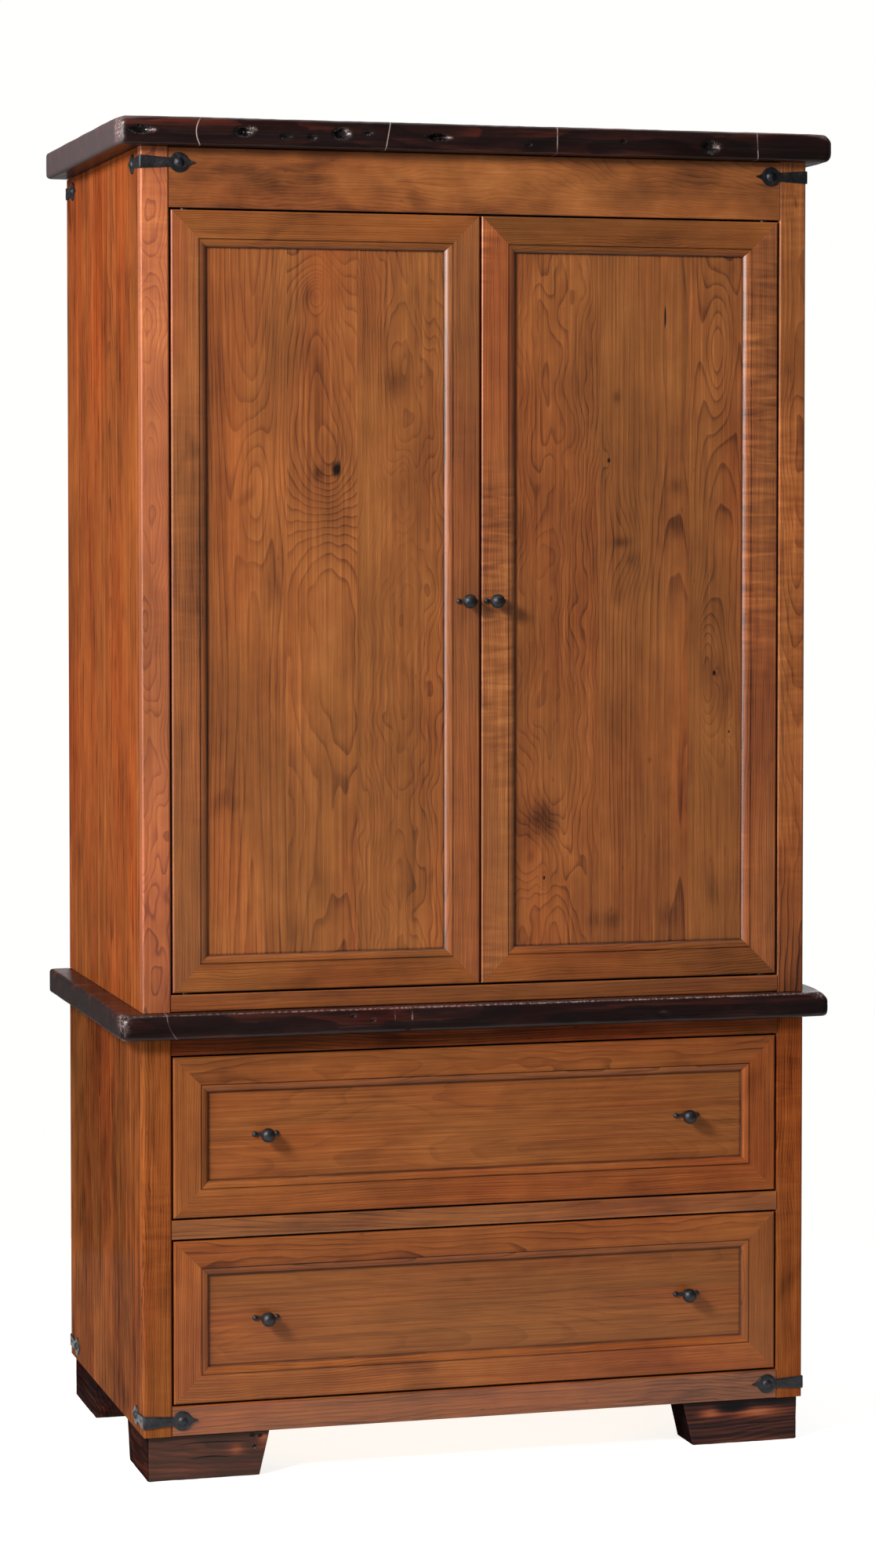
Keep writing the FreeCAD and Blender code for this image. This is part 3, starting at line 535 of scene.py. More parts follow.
def wobble(points, scale, seed, count=7):
    """Smooth seeded unevenness from -1 to 1, with waves about scale metres long."""
    rng = np.random.default_rng(seed)
    total = np.zeros(len(points))
    for _ in range(count):
        way = rng.normal(size=3)
        way *= math.tau / scale / np.linalg.norm(way) * rng.uniform(0.6, 1.5)
        total += np.sin(points @ way + rng.uniform(0, math.tau))
    return total / count


CREASE = math.radians(40)


def add_object(name, data):
    thing = bpy.data.objects.new(name, data)
    bpy.context.scene.collection.objects.link(thing)
    return thing


def new_piece(node, ending, body, slot, points, faces, materials, face_materials=None):
    """The mesh that stands for a node, smooth except at edges sharper than a crease."""
    name = f"{node}_{ending}"
    mesh = bpy.data.meshes.new(name)
    mesh.from_pydata([tuple(map(float, p)) for p in points], [], [tuple(map(int, f)) for f in faces])
    work = bmesh.new()
    work.from_mesh(mesh)
    bmesh.ops.recalc_face_normals(work, faces=work.faces)
    for face in work.faces:
        face.smooth = True
    for edge in work.edges:
        edge.smooth = edge.calc_face_angle(0.0) < CREASE
    work.to_mesh(mesh)
    work.free()
    for material in materials:
        mesh.materials.append(material)
    if face_materials is not None:
        mesh.polygons.foreach_set("material_index", np.asarray(face_materials, np.int32))
    mesh.update()
    thing = add_object(name, mesh)
    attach(thing, body)
    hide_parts(node)


def corners_of(node):
    return (np.array(part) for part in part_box(node))


def joined(parts):
    """Several (points, faces) as one."""
    points, faces, start = [], [], 0
    for part_points, part_faces in parts:
        points.append(np.asarray(part_points, float))
        faces += [[number + start for number in face] for face in part_faces]
        start += len(part_points)
    return np.concatenate(points), faces


def block_stations(length, edge, pitch):
    count = max(2, int(round((length - 2 * edge) / pitch)))
    near = np.linspace(0, edge, 6)
    return np.concatenate([near[:-1], np.linspace(edge, length - edge, count + 1), length - near[-2::-1]])


def block_grid(size, edge, pitches):
    """The points and quads of a block's surface, from the origin to size."""
    stations = [block_stations(length, edge, pitch) for length, pitch in zip(size, pitches)]
    shape = tuple(len(s) for s in stations)
    skin = np.zeros(shape, bool)
    for axis in range(3):
        ends = [slice(None)] * 3
        ends[axis] = [0, -1]
        skin[tuple(ends)] = True
    ids = np.full(shape, -1)
    ids[skin] = np.arange(skin.sum())
    where = np.argwhere(skin)
    points = np.stack([stations[axis][where[:, axis]] for axis in range(3)], 1)
    quads = []
    for axis in range(3):
        for end in (0, -1):
            plane = np.take(ids, end, axis)
            quads.append(np.stack([plane[:-1, :-1], plane[1:, :-1], plane[1:, 1:], plane[:-1, 1:]],
                -1).reshape(-1, 4))
    return points, np.concatenate(quads)


def to_disc(first, second):
    """Shrinks the corner of a square onto a quarter circle: the factor for both coordinates."""
    longest = np.maximum(np.abs(first), np.abs(second))
    return longest / np.maximum(np.hypot(first, second), 1e-9)


def round_block(points, size, corner, edge):
    """Rounds a block's upright edges by corner and its level edges by edge, which may differ per point."""
    size = np.asarray(size, float)
    flat = points[:, :2]
    inner = np.clip(flat, corner, size[:2] - corner)
    away = flat - inner
    in_corner = (np.abs(away) > 1e-9).all(1)
    away = np.where(in_corner[:, None], away * to_disc(away[:, 0], away[:, 1])[:, None], away)
    reach = np.linalg.norm(away, axis=1)
    flat = inner + away
    to_sides = np.stack([flat[:, 0], size[0] - flat[:, 0], flat[:, 1], size[1] - flat[:, 1]], 1)
    nearest = to_sides.argmin(1)
    inset = np.where(in_corner, corner - reach, to_sides.min(1))
    ways = np.array([(-1.0, 0), (1, 0), (0, -1), (0, 1)])[nearest]
    ways = np.where(in_corner[:, None], away / np.maximum(reach, 1e-9)[:, None], ways)
    height = points[:, 2]
    from_end = np.minimum(height, size[2] - height)
    out = np.clip(edge - inset, 0, None)
    rise = np.clip(edge - from_end, 0, None)
    shrink = to_disc(out, rise)
    flat = flat + ways * (out * (shrink - 1))[:, None]
    sign = np.where(height < size[2] / 2, -1.0, 1.0)
    height = height + sign * rise * (shrink - 1)
    return np.column_stack([flat, height])


def quad_normals(points, quads):
    corners = points[quads]
    return np.cross(corners[:, 2] - corners[:, 0], corners[:, 3] - corners[:, 1])


def point_normals(points, quads):
    normal = quad_normals(points, quads)
    total = np.zeros_like(points)
    for number in range(4):
        np.add.at(total, quads[:, number], normal)
    total /= np.maximum(np.linalg.norm(total, axis=1), 1e-12)[:, None]
    return total


def oriented(points, quads):
    """Turns every quad of a closed convex block so that it faces outwards."""
    from_middle = points[quads].mean(1) - (points.min(0) + points.max(0)) / 2
    outward = (quad_normals(points, quads) * from_middle).sum(1) > 0
    return np.where(outward[:, None], quads, quads[:, ::-1])


def bell(points, centre, spread):
    """1 at the centre, falling off over spread along each axis."""
    away = (points - np.asarray(centre)) / np.asarray(spread)
    return np.exp(-(away ** 2).sum(1))


def wear(points, seed, *waves):
    """How deep the skin has worn, from (depth, length) of each set of waves."""
    return sum(depth * (1 + wobble(points, scale, seed + number)) for number, (depth, scale) in
        enumerate(waves, 1))


# ---- slabs

SLAB_ROUNDING = 0.014


def slab(node, gouges, corners, cracks, breaks, pits, rubs_and_highlights, seed, tone, end_sheen):
    """A thick worn plank.

    gouges are (x, z, half width, half height, depth) on its front face, and corners are (place, spread,
    extra rounding) where it is more worn. The rest is the wood's, as reclaimed says.
    """
    low, high = corners_of(node)
    size = high - low
    points, quads = block_grid(size, SLAB_ROUNDING, (0.0028, 0.012, 0.0022))
    quads = oriented(points, quads)
    edge = 0.0062 + 0.0016 * wobble(points, 0.16, seed)
    for place, spread, extra in corners:
        edge = edge + extra * bell(points, np.array(place) - low, spread)
    points = round_block(points, size, SLAB_ROUNDING, np.clip(edge, 0.003, 0.021)) + low
    normals = point_normals(points, quads)
    sunk = wear(points, seed, (0.00035, 0.3), (0.0002, 0.045))
    front = np.clip((low[1] + 0.012 - points[:, 1]) / 0.008, 0, 1)
    sunk = sunk + 0.0007 * front * np.abs(wobble(points * (0.2, 1, 1), 0.01, seed + 3))
    crumbly = 1 + 0.6 * wobble(points, 0.0065, seed + 5)
    for x, z, half_wide, half_high, depth in gouges:
        hollow = np.clip(1.7 * bell(points, (x, low[1], z), (half_wide, 0.02, half_high)) - 0.3, 0, 1)
        sunk = sunk + depth * front * hollow * crumbly
    points = np.clip(points - normals * sunk[:, None], low, high)
    wood = reclaimed(f"slab_wood_{node}", "x", "y", tone=tone, top=float(high[2]), cracks=cracks,
        breaks=breaks, pits=pits, rubs_and_highlights=rubs_and_highlights, front=float(low[1]), heart=(0.05, float(low[2]) - 0.03),
        ruddy=0.45, ends=(float(low[0]), float(high[0])), end_sheen=end_sheen, shine=0.55)
    new_piece(node, "plank", "carcass", "reclaimed_wood", points, quads, [wood])


TOP_GOUGES = [
    (-0.5520, 2.1120, 0.014, 0.006, 0.0065),
    (-0.3890, 2.1120, 0.013, 0.007, 0.0065),
    (-0.3230, 2.1062, 0.008, 0.004, 0.0030),
    (-0.2810, 2.1055, 0.007, 0.004, 0.0030),
    (-0.2330, 2.1130, 0.013, 0.009, 0.0070),
    (-0.1910, 2.1157, 0.007, 0.004, 0.0030),
    (-0.0770, 2.1113, 0.017, 0.005, 0.0075),
    (0.0723, 2.1041, 0.004, 0.003, 0.0020),
    (0.2291, 2.1130, 0.004, 0.003, 0.0020),
    (0.3762, 2.1080, 0.014, 0.010, 0.0060),
]
WAIST_GOUGES = [
    (-0.2166, 0.7290, 0.005, 0.003, 0.0020),
    (-0.1834, 0.7210, 0.004, 0.003, 0.0022),
    (0.3000, 0.7150, 0.010, 0.004, 0.0010),
]


def make_slabs():
    top_low, top_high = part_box("top_slab")
    waist_low, waist_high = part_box("waist_slab")
    # Painted light in these lists: the rubs on the corners, along the top front edge and on the gouges' rims
    # are painted highlight, and bloom paints a sheen on the top slab's end faces.
    slab("top_slab", TOP_GOUGES, [((top_high.x, top_low.y, top_high.z), (0.03, 0.05, 0.03), 0.012),
        ((top_high.x, top_low.y, top_low.z), (0.02, 0.04, 0.02), 0.005), ((top_low.x, top_low.y,
        top_high.z), (0.03, 0.04, 0.03), 0.008)], cracks=[(-0.575, -0.12, 2.1095, 0.001), (-0.45, -0.1,
        2.102, 0.002), (0.02, 0.3, 2.111, 0.001), (0.33, 0.575, 2.1075, 0.0012)], breaks=[(-0.463, 0.05,
        14.0, 1.0), (-0.154, 0.2, 0.0, 0.8), (0.118, 0.0, 0.0, 0.8), (0.455, -0.05, 0.0, 0.8)], pits=[(x, z,
        wide * 1.25, high) for x, z, wide, high, _ in TOP_GOUGES], rubs_and_highlights=[(top_low.x, top_high.z - 0.018,
        0.0045, 0.03), (top_high.x - 0.006, top_high.z - 0.004, 0.01, 0.004), (-0.533, 2.112, 0.006, 0.003),
        (-0.376, 2.117, 0.006, 0.003), (-0.225, 2.116, 0.005, 0.004), (-0.06, 2.112, 0.005, 0.002), (0.386,
        2.109, 0.005, 0.003)], seed=11, tone=0.075, end_sheen=0.32)
    slab("waist_slab", WAIST_GOUGES, [((waist_high.x, waist_low.y, waist_high.z), (0.035, 0.05, 0.03),
        0.014), ((waist_low.x, waist_low.y, waist_high.z), (0.03, 0.04, 0.03), 0.009)], cracks=[(-0.3,
        -0.02, 0.713, 0.001), (0.2, 0.52, 0.711, 0.0015)], breaks=[(-0.52, -0.45, 10.0, 0.45)], pits=[(x, z,
        wide, high) for x, z, wide, high, _ in WAIST_GOUGES[:2]], rubs_and_highlights=[(waist_low.x, waist_high.z - 0.01,
        0.009, 0.012), (waist_high.x - 0.01, waist_high.z - 0.003, 0.014, 0.005), (0.15, waist_high.z -
        0.002, 0.6, 0.001), (-0.148, 0.727, 0.001, 0.007), (-0.12, 0.724, 0.001, 0.006)], seed=23,
        tone=0.015, end_sheen=0.0)


# ---- feet

FOOT_BEAM = 0.077
FOOT_ROUNDING = 0.0025
FRONT_TAPER = 0.017  # how far the end of the front beam leans in, from top to floor
SIDE_TAPER = 0.024


def timber(size, seed):
    """A short worn beam from the origin, as points and quads."""
    points, quads = block_grid(size, 0.005, (0.004, 0.004, 0.004))
    quads = oriented(points, quads)
    edge = FOOT_ROUNDING + 0.0009 * wobble(points, 0.05, seed)
    points = round_block(points, size, FOOT_ROUNDING, edge)
    sunk = wear(points, seed, (0.0004, 0.08), (0.00025, 0.016))
    return np.clip(points - point_normals(points, quads) * sunk[:, None], 0, size), quads


def mitred(points, size, taper):
    """Cuts a beam along X: a mitre at its start and an end that leans in towards the floor."""
    start = points[:, 1]
    end = size[0] - taper * (1 - points[:, 2] / size[2])
    return np.column_stack([start + points[:, 0] / size[0] * (end - start), points[:, 1:]])


def front_foot(side_name, side, materials, seed):
    """Two beams mitred at the corner; materials are the front beam's, the side one's and the inner end's."""
    node = f"front_{side_name}_foot"
    low, high = corners_of(node)
    corner = np.array([low[0] if side < 0 else high[0], low[1], low[2]])
    parts = []
    lengths = (high[0] - low[0], high[1] - low[1])
    for number, (length, taper) in enumerate(zip(lengths, (FRONT_TAPER, SIDE_TAPER))):
        size = np.array([length, FOOT_BEAM, high[2] - low[2]])
        points, quads = timber(size, seed + 10 * number)
        points = mitred(points, size, taper)
        if number:
            points = points[:, [1, 0, 2]]
        parts.append((points * (-side, 1, 1) + corner, quads.tolist()))
    points, faces = joined(parts)
    which = [0] * len(parts[0][1]) + [1] * len(parts[1][1])
    front_quads = np.array(parts[0][1])
    normal = quad_normals(points, front_quads)
    sloping = np.abs(normal[:, 0]) > 0.8 * np.linalg.norm(normal, axis=1)
    inner = (points[front_quads][:, :, 0].mean(1) - (low[0] + high[0]) / 2) * side < 0
    for number in np.nonzero(sloping & inner)[0]:
        which[number] = 2
    new_piece(node, "timber", "carcass", "reclaimed_wood", points, faces, materials, which)


def back_foot(side_name, side, seed):
    node = f"back_{side_name}_foot"
    low, high = corners_of(node)
    wood = foot_wood(f"back_{side_name}", "y", "x", shine=0.0, tone=0.04, contrast=0.8, heart=(0.6 * side,
        0.0))
    points, quads = timber(high - low, seed)
    new_piece(node, "timber", "carcass", "reclaimed_wood", points + low, quads, [wood])


def foot_wood(name, along, across, **more):
    return reclaimed(f"foot_wood_{name}", along, across, **more)


def make_feet():
    left_front = foot_wood("left_front", "x", "y", shine=0.2, tone=0.18, contrast=0.8, heart=(-0.2, 0.1),
        pitch=0.005, faded=0.42, cracks=[(-0.5, -0.375, 0.056, 0.0015), (-0.475, -0.405, 0.031, 0.004)],
        pits=[(-0.3735, 0.0655, 0.006, 0.005), (-0.361, 0.064, 0.005, 0.004), (-0.37, 0.048, 0.004, 0.005)],
        glow=[(-0.399, 0.045, 0.012, 0.009, 0.42), (-0.356, 0.056, 0.01, 0.012, 0.42)])
    left_side = foot_wood("left_side", "y", "x", shine=0.0, tone=0.1, contrast=0.7, heart=(-0.62, 0.02),
        ruddy=0.1)
    right_front = foot_wood("right_front", "x", "y", shine=0.2, tone=0.17, contrast=0.8, heart=(-0.2,
        -0.05), ruddy=-0.15, pitch=0.0042, cracks=[(0.44, 0.52, 0.03, 0.001)], glow=[(0.48, 0.048, 0.045,
        0.008, 0.3), (0.39, 0.052, 0.02, 0.008, 0.25), (0.431, 0.061, 0.022, 0.007, -0.5), (0.51, 0.066,
        0.03, 0.006, -0.25)])
    right_side = foot_wood("right_side", "y", "x", shine=0.0, tone=-0.05, contrast=0.9, heart=(0.62, 0.02),
        ruddy=0.3)
    end_grain = foot_wood("end_grain", "y", "z", shine=0.0, tone=-0.22, contrast=0.5)
    front_foot("left", -1, [left_front, left_side, end_grain], 31)
    front_foot("right", 1, [right_front, right_side, end_grain], 57)
    back_foot("left", -1, 71)
    back_foot("right", 1, 83)


# ---- ironwork

def tube_faces(rings, around):
    """The quads between rings of points, and a cap at each end."""
    faces = []
    for ring in range(rings - 1):
        here, following = ring * around, (ring + 1) * around
        for step in range(around):
            after = (step + 1) % around
            faces.append([here + step, here + after, following + after, following + step])
    last = (rings - 1) * around
    return faces + [list(range(around)), list(range(last, last + around))]


def turned(profile, around=40):
    """A shape turned about -Y: profile is (radius, distance out), from the tip to the back."""
    points = []
    for radius, out in profile:
        for number in range(around):
            angle = math.tau * number / around
            points.append((radius * math.cos(angle), -out, radius * math.sin(angle)))
    faces = tube_faces(len(profile), around)
    faces[-2].reverse()  # the cap at the tip faces the other way
    return np.array(points), faces


def hammered(points, depth, scale, seed):
    """Dents that only go towards the shape's own middle."""
    middle = (points.min(0) + points.max(0)) / 2
    inward = middle - points
    inward /= np.maximum(np.linalg.norm(inward, axis=1), 1e-9)[:, None]
    dents = np.abs(wobble(points, scale, seed, 5)) * depth
    return points + inward * dents[:, None]


KNOB_RADIUS = 0.0115
KNOB_REACH = 0.018
NECK_RADIUS = 0.005
BOSS_RADIUS = 0.007
BOSS_HEIGHT = 0.004


def knob_mesh(at, seed):
    ball = []
    for step in range(1, 17):
        angle = math.pi * step / 20
        ball.append((KNOB_RADIUS * math.sin(angle), KNOB_REACH + KNOB_RADIUS * math.cos(angle)))
    neck = [(NECK_RADIUS * 1.02, KNOB_REACH - KNOB_RADIUS * 0.93), (NECK_RADIUS * 0.94, 0.0066),
        (NECK_RADIUS * 1.02, 0.006), (0.0058, 0.0058), (0.006, 0.0052), (0.0058, 0.0045), (0.0056, 0.004)]
    points, faces = turned([(0.0004, KNOB_REACH + KNOB_RADIUS)] + ball + neck)
    on_ball = np.clip((-points[:, 1] - 0.0085) / 0.003, 0, 1)
    dented = hammered(points, 0.0003, 0.011, seed)
    points = points + (dented - points) * on_ball[:, None]
    return points + at, faces


def plate_mesh(at, length, seed):
    """Half a turned bar with a ball at each end, and the boss that the knob sits on."""
    ball, neck = 0.0045, 0.0026
    centre = length / 2 - ball
    neck_at = centre - math.sqrt(ball ** 2 - neck ** 2)
    stations = []
    for step in range(9):
        angle = math.pi * (step + 0.4) / 10.2
        across = centre + ball * math.cos(angle)
        if across > neck_at + 0.0004:
            stations.append((across, ball * math.sin(angle)))
    for step in range(7):
        share = step / 6
        stations.append((neck_at * (1 - share), neck + (BOSS_HEIGHT - neck) * share ** 1.3))
    stations = [(-across, radius) for across, radius in stations] + \
        [(across, radius) for across, radius in stations[-2::-1]]
    arc = 14
    bar = []
    for across, radius in stations:
        for step in range(arc + 1):
            angle = math.pi * step / arc
            bar.append((across, -radius * math.sin(angle), radius * math.cos(angle)))
    faces = tube_faces(len(stations), arc + 1)
    bar = np.array(bar)
    out = np.clip(-bar[:, 1] / 0.002, 0, 1)
    bar[:, 1] += out * np.abs(wobble(bar, 0.006, seed)) * 0.0004
    boss = turned([(0.0052, BOSS_HEIGHT), (BOSS_RADIUS * 0.93, BOSS_HEIGHT * 0.93), (BOSS_RADIUS,
        BOSS_HEIGHT * 0.72), (BOSS_RADIUS, 0.0)])
    points, faces = joined([(bar, faces), boss])
    return points + at, faces


def forged(node, shape, iron, body):
    new_piece(node, "forged", body, "black_iron", *shape, [iron])


def make_knobs(iron):
    for door, seed in (("left_door", 101), ("right_door", 131)):
        low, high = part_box(f"{door}_knob")
        at = np.array([(low.x + high.x) / 2, low.y + KNOB_REACH + KNOB_RADIUS, (low.z + high.z) / 2])
        plate_low, plate_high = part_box(f"{door}_knob_plate")
        forged(f"{door}_knob", knob_mesh(at, seed), iron, door)
        plate = plate_mesh(at, plate_high.x - plate_low.x, seed + 1)
        forged(f"{door}_knob_plate", plate, iron, door)
    for body, seed in (("upper_drawer", 151), ("lower_drawer", 181)):
        low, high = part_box(f"{body}_knobs")
        plates_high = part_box(f"{body}_knob_plates")[1]
        places = [np.array([x, low.y + KNOB_REACH + KNOB_RADIUS, (low.z + high.z) / 2]) for x in (low.x +
            KNOB_RADIUS, high.x - KNOB_RADIUS)]
        length = 2 * (plates_high.x - places[1][0])
        knobs = joined([knob_mesh(at, seed + number) for number, at in enumerate(places)])
        plates = joined([plate_mesh(at, length, seed + 5 + number) for number, at in enumerate(places)])
        forged(f"{body}_knobs", knobs, iron, body)
        forged(f"{body}_knob_plates", plates, iron, body)


STRAP_THICKNESS = 0.0025
STRAP_BEND = 0.0012
STRAP_HALF = (0.0103, 0.007)  # half its width at the corner and at the neck
NECK_AT = 0.04717
DISC_AT = 0.061
DISC_RADIUS = 0.0155
DISC_ENDS = 0.07325
HOLLOW_AT = 0.0859
HOLLOW_RADIUS = 0.014
POINT_AT = 0.0842
POINT_LENGTH = 0.00182
NAIL = (0.0076, 0.0045)  # radius and height
SMALL_NAIL = (0.0032, 0.0012)
SMALL_NAIL_AT = 0.016


def strap_half_width(s):
    """Half the strap's width at a distance from the corner: taper, disc, then the tip's hollow sides."""
    if s < NECK_AT:
        return STRAP_HALF[0] + (STRAP_HALF[1] - STRAP_HALF[0]) * s / NECK_AT
    if s < DISC_ENDS:
        return math.sqrt(max(DISC_RADIUS ** 2 - (s - DISC_AT) ** 2, 0.0))
    hollow = DISC_RADIUS - math.sqrt(max(HOLLOW_RADIUS ** 2 - (s - HOLLOW_AT) ** 2, 0.0))
    return hollow * math.sqrt(max(1 - (max(s - POINT_AT, 0) / POINT_LENGTH) ** 2, 0.0))


def strap_mesh(corner, along_x, along_y, seed):
    """A strap round the corner of the case, its legs running inwards by the given signs along X and Y."""
    lengths = np.concatenate([np.linspace(0, STRAP_BEND, 4)[:-1], np.linspace(STRAP_BEND, 0.0462, 16),
        np.linspace(0.047, 0.074, 22), np.linspace(0.0752, 0.08598, 13)])
    stations = np.concatenate([-lengths[:0:-1], lengths])
    across = [(-1.0, 0.0), (-1.0, 0.55), (-0.97, 0.82), (-0.9, 0.96), (-0.6, 1.0), (-0.2, 1.0)]
    across += [(-t, rise) for t, rise in reversed(across)]
    rng = np.random.default_rng(seed)
    tilt = rng.uniform(-0.0005, 0.0005)
    flat = []
    for s in stations:
        half = max(strap_half_width(abs(s)), 0.0001)
        for t, rise in across:
            flat.append((s, t * half, rise * STRAP_THICKNESS))
    flat = np.array(flat)
    high = flat[:, 2] > STRAP_THICKNESS * 0.5
    plan = flat * (1, 1, 0)
    dents = np.abs(wobble(plan, 0.013, seed)) * 0.0005 + np.abs(wobble(plan, 0.005, seed + 1)) * 0.00022
    flat[:, 2] -= np.where(high, dents, 0)
    flat[:, 1] += tilt * np.sin(flat[:, 0] * 30) + 0.0002 * wobble(flat * (1, 0, 0), 0.012, seed + 2)
    s, side, out = flat.T
    turn = (1 - np.clip(s / STRAP_BEND, -1, 1)) * math.pi / 4
    radius = STRAP_BEND + out
    x = np.where(s > STRAP_BEND, s, np.where(s < -STRAP_BEND, -out, STRAP_BEND - radius * np.sin(turn)))
    y = np.where(s > STRAP_BEND, -out, np.where(s < -STRAP_BEND, -s, STRAP_BEND - radius * np.cos(turn)))
    points = np.column_stack([x * along_x, y * along_y, side]) + corner
    return points, tube_faces(len(stations), len(across))


def nail_mesh(at, outward, radius, height, seed):
    """A hammered domed head, its dome towards outward."""
    sphere = (radius ** 2 + height ** 2) / (2 * height)
    widest = math.asin(min(radius / sphere, 1))
    profile = [(0.0003, height)]
    for step in range(1, 9):
        angle = widest * step / 8
        profile.append((sphere * math.sin(angle), sphere * math.cos(angle) - sphere + height))
    points, faces = turned(profile, 28)
    points[:, 1] = np.minimum(points[:, 1], 0)
    dents = np.abs(wobble(points, radius * 0.9, seed, 5)) * height * 0.16
    points[:, 1] += np.where(points[:, 1] < -0.0002, dents, 0)
    turn = Vector((0, -1, 0)).rotation_difference(Vector(outward)).to_matrix()
    return points @ np.array(turn).T + at, faces


def make_straps(iron):
    low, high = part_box("corner_straps")
    thick = STRAP_THICKNESS
    sunk = thick * 0.9
    case = {"x": (low.x + thick, high.x - thick), "y": (low.y + thick, high.y - thick)}
    straps, nails = [], []
    seed = 300
    for level in (low.z + DISC_RADIUS, high.z - DISC_RADIUS):
        for along_x, x in zip((1, -1), case["x"]):
            for along_y, y in zip((1, -1), case["y"]):
                seed += 7
                straps.append(strap_mesh(np.array([x, y, level]), along_x, along_y, seed))
                face = np.array([x + DISC_AT * along_x, y - sunk * along_y, level])
                nails.append(nail_mesh(face, (0, -along_y, 0), *NAIL, seed + 1))
                for number, (off, nail) in enumerate(((DISC_AT, NAIL), (SMALL_NAIL_AT, SMALL_NAIL)), 2):
                    side = np.array([x - sunk * along_x, y + off * along_y, level])
                    nails.append(nail_mesh(side, (-along_x, 0, 0), *nail, seed + number))
    forged("corner_straps", joined(straps), iron, "carcass")
    forged("strap_nails", joined(nails), iron, "carcass")


# ---- finishing the CAD nodes

FRAME_FLAT = 0.044
PANEL_FACE = 0.3047  # how far in front of the origin the panels' faces lie
FRAME_WIDTH = 0.057


def frame_edges(paint, node):
    """How far a point lies inside the left or right, and inside the top or bottom, of a node's box."""
    low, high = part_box(node)
    place = paint.place()
    return [(high[axis] - low[axis]) / 2 - paint.math("ABSOLUTE", place["xyz"[axis]] - (low[axis] +
        high[axis]) / 2) for axis in (0, 2)]


def mitre_of(node):
    """1 where a point of a four-member frame is on its left or right member, 0 on its top or bottom one."""
    return lambda paint: paint.math("LESS_THAN", *frame_edges(paint, node))


def grime_of(node):
    """Painted shade: darker in the quirk beside the bead and where the bead meets the panel, where shade
    falls.
    """
    def shade(paint):
        inside = paint.math("MINIMUM", *frame_edges(paint, node))
        from_quirk = paint.math("ABSOLUTE", inside - (FRAME_FLAT + 0.0006))
        from_panel = paint.math("ABSOLUTE", inside - FRAME_WIDTH)
        return paint.step(from_quirk, 0.0016, 0.0004, 0.0, 0.34) + paint.step(from_panel, 0.0035, 0.0002,
            0.0, 0.3)

    return shade


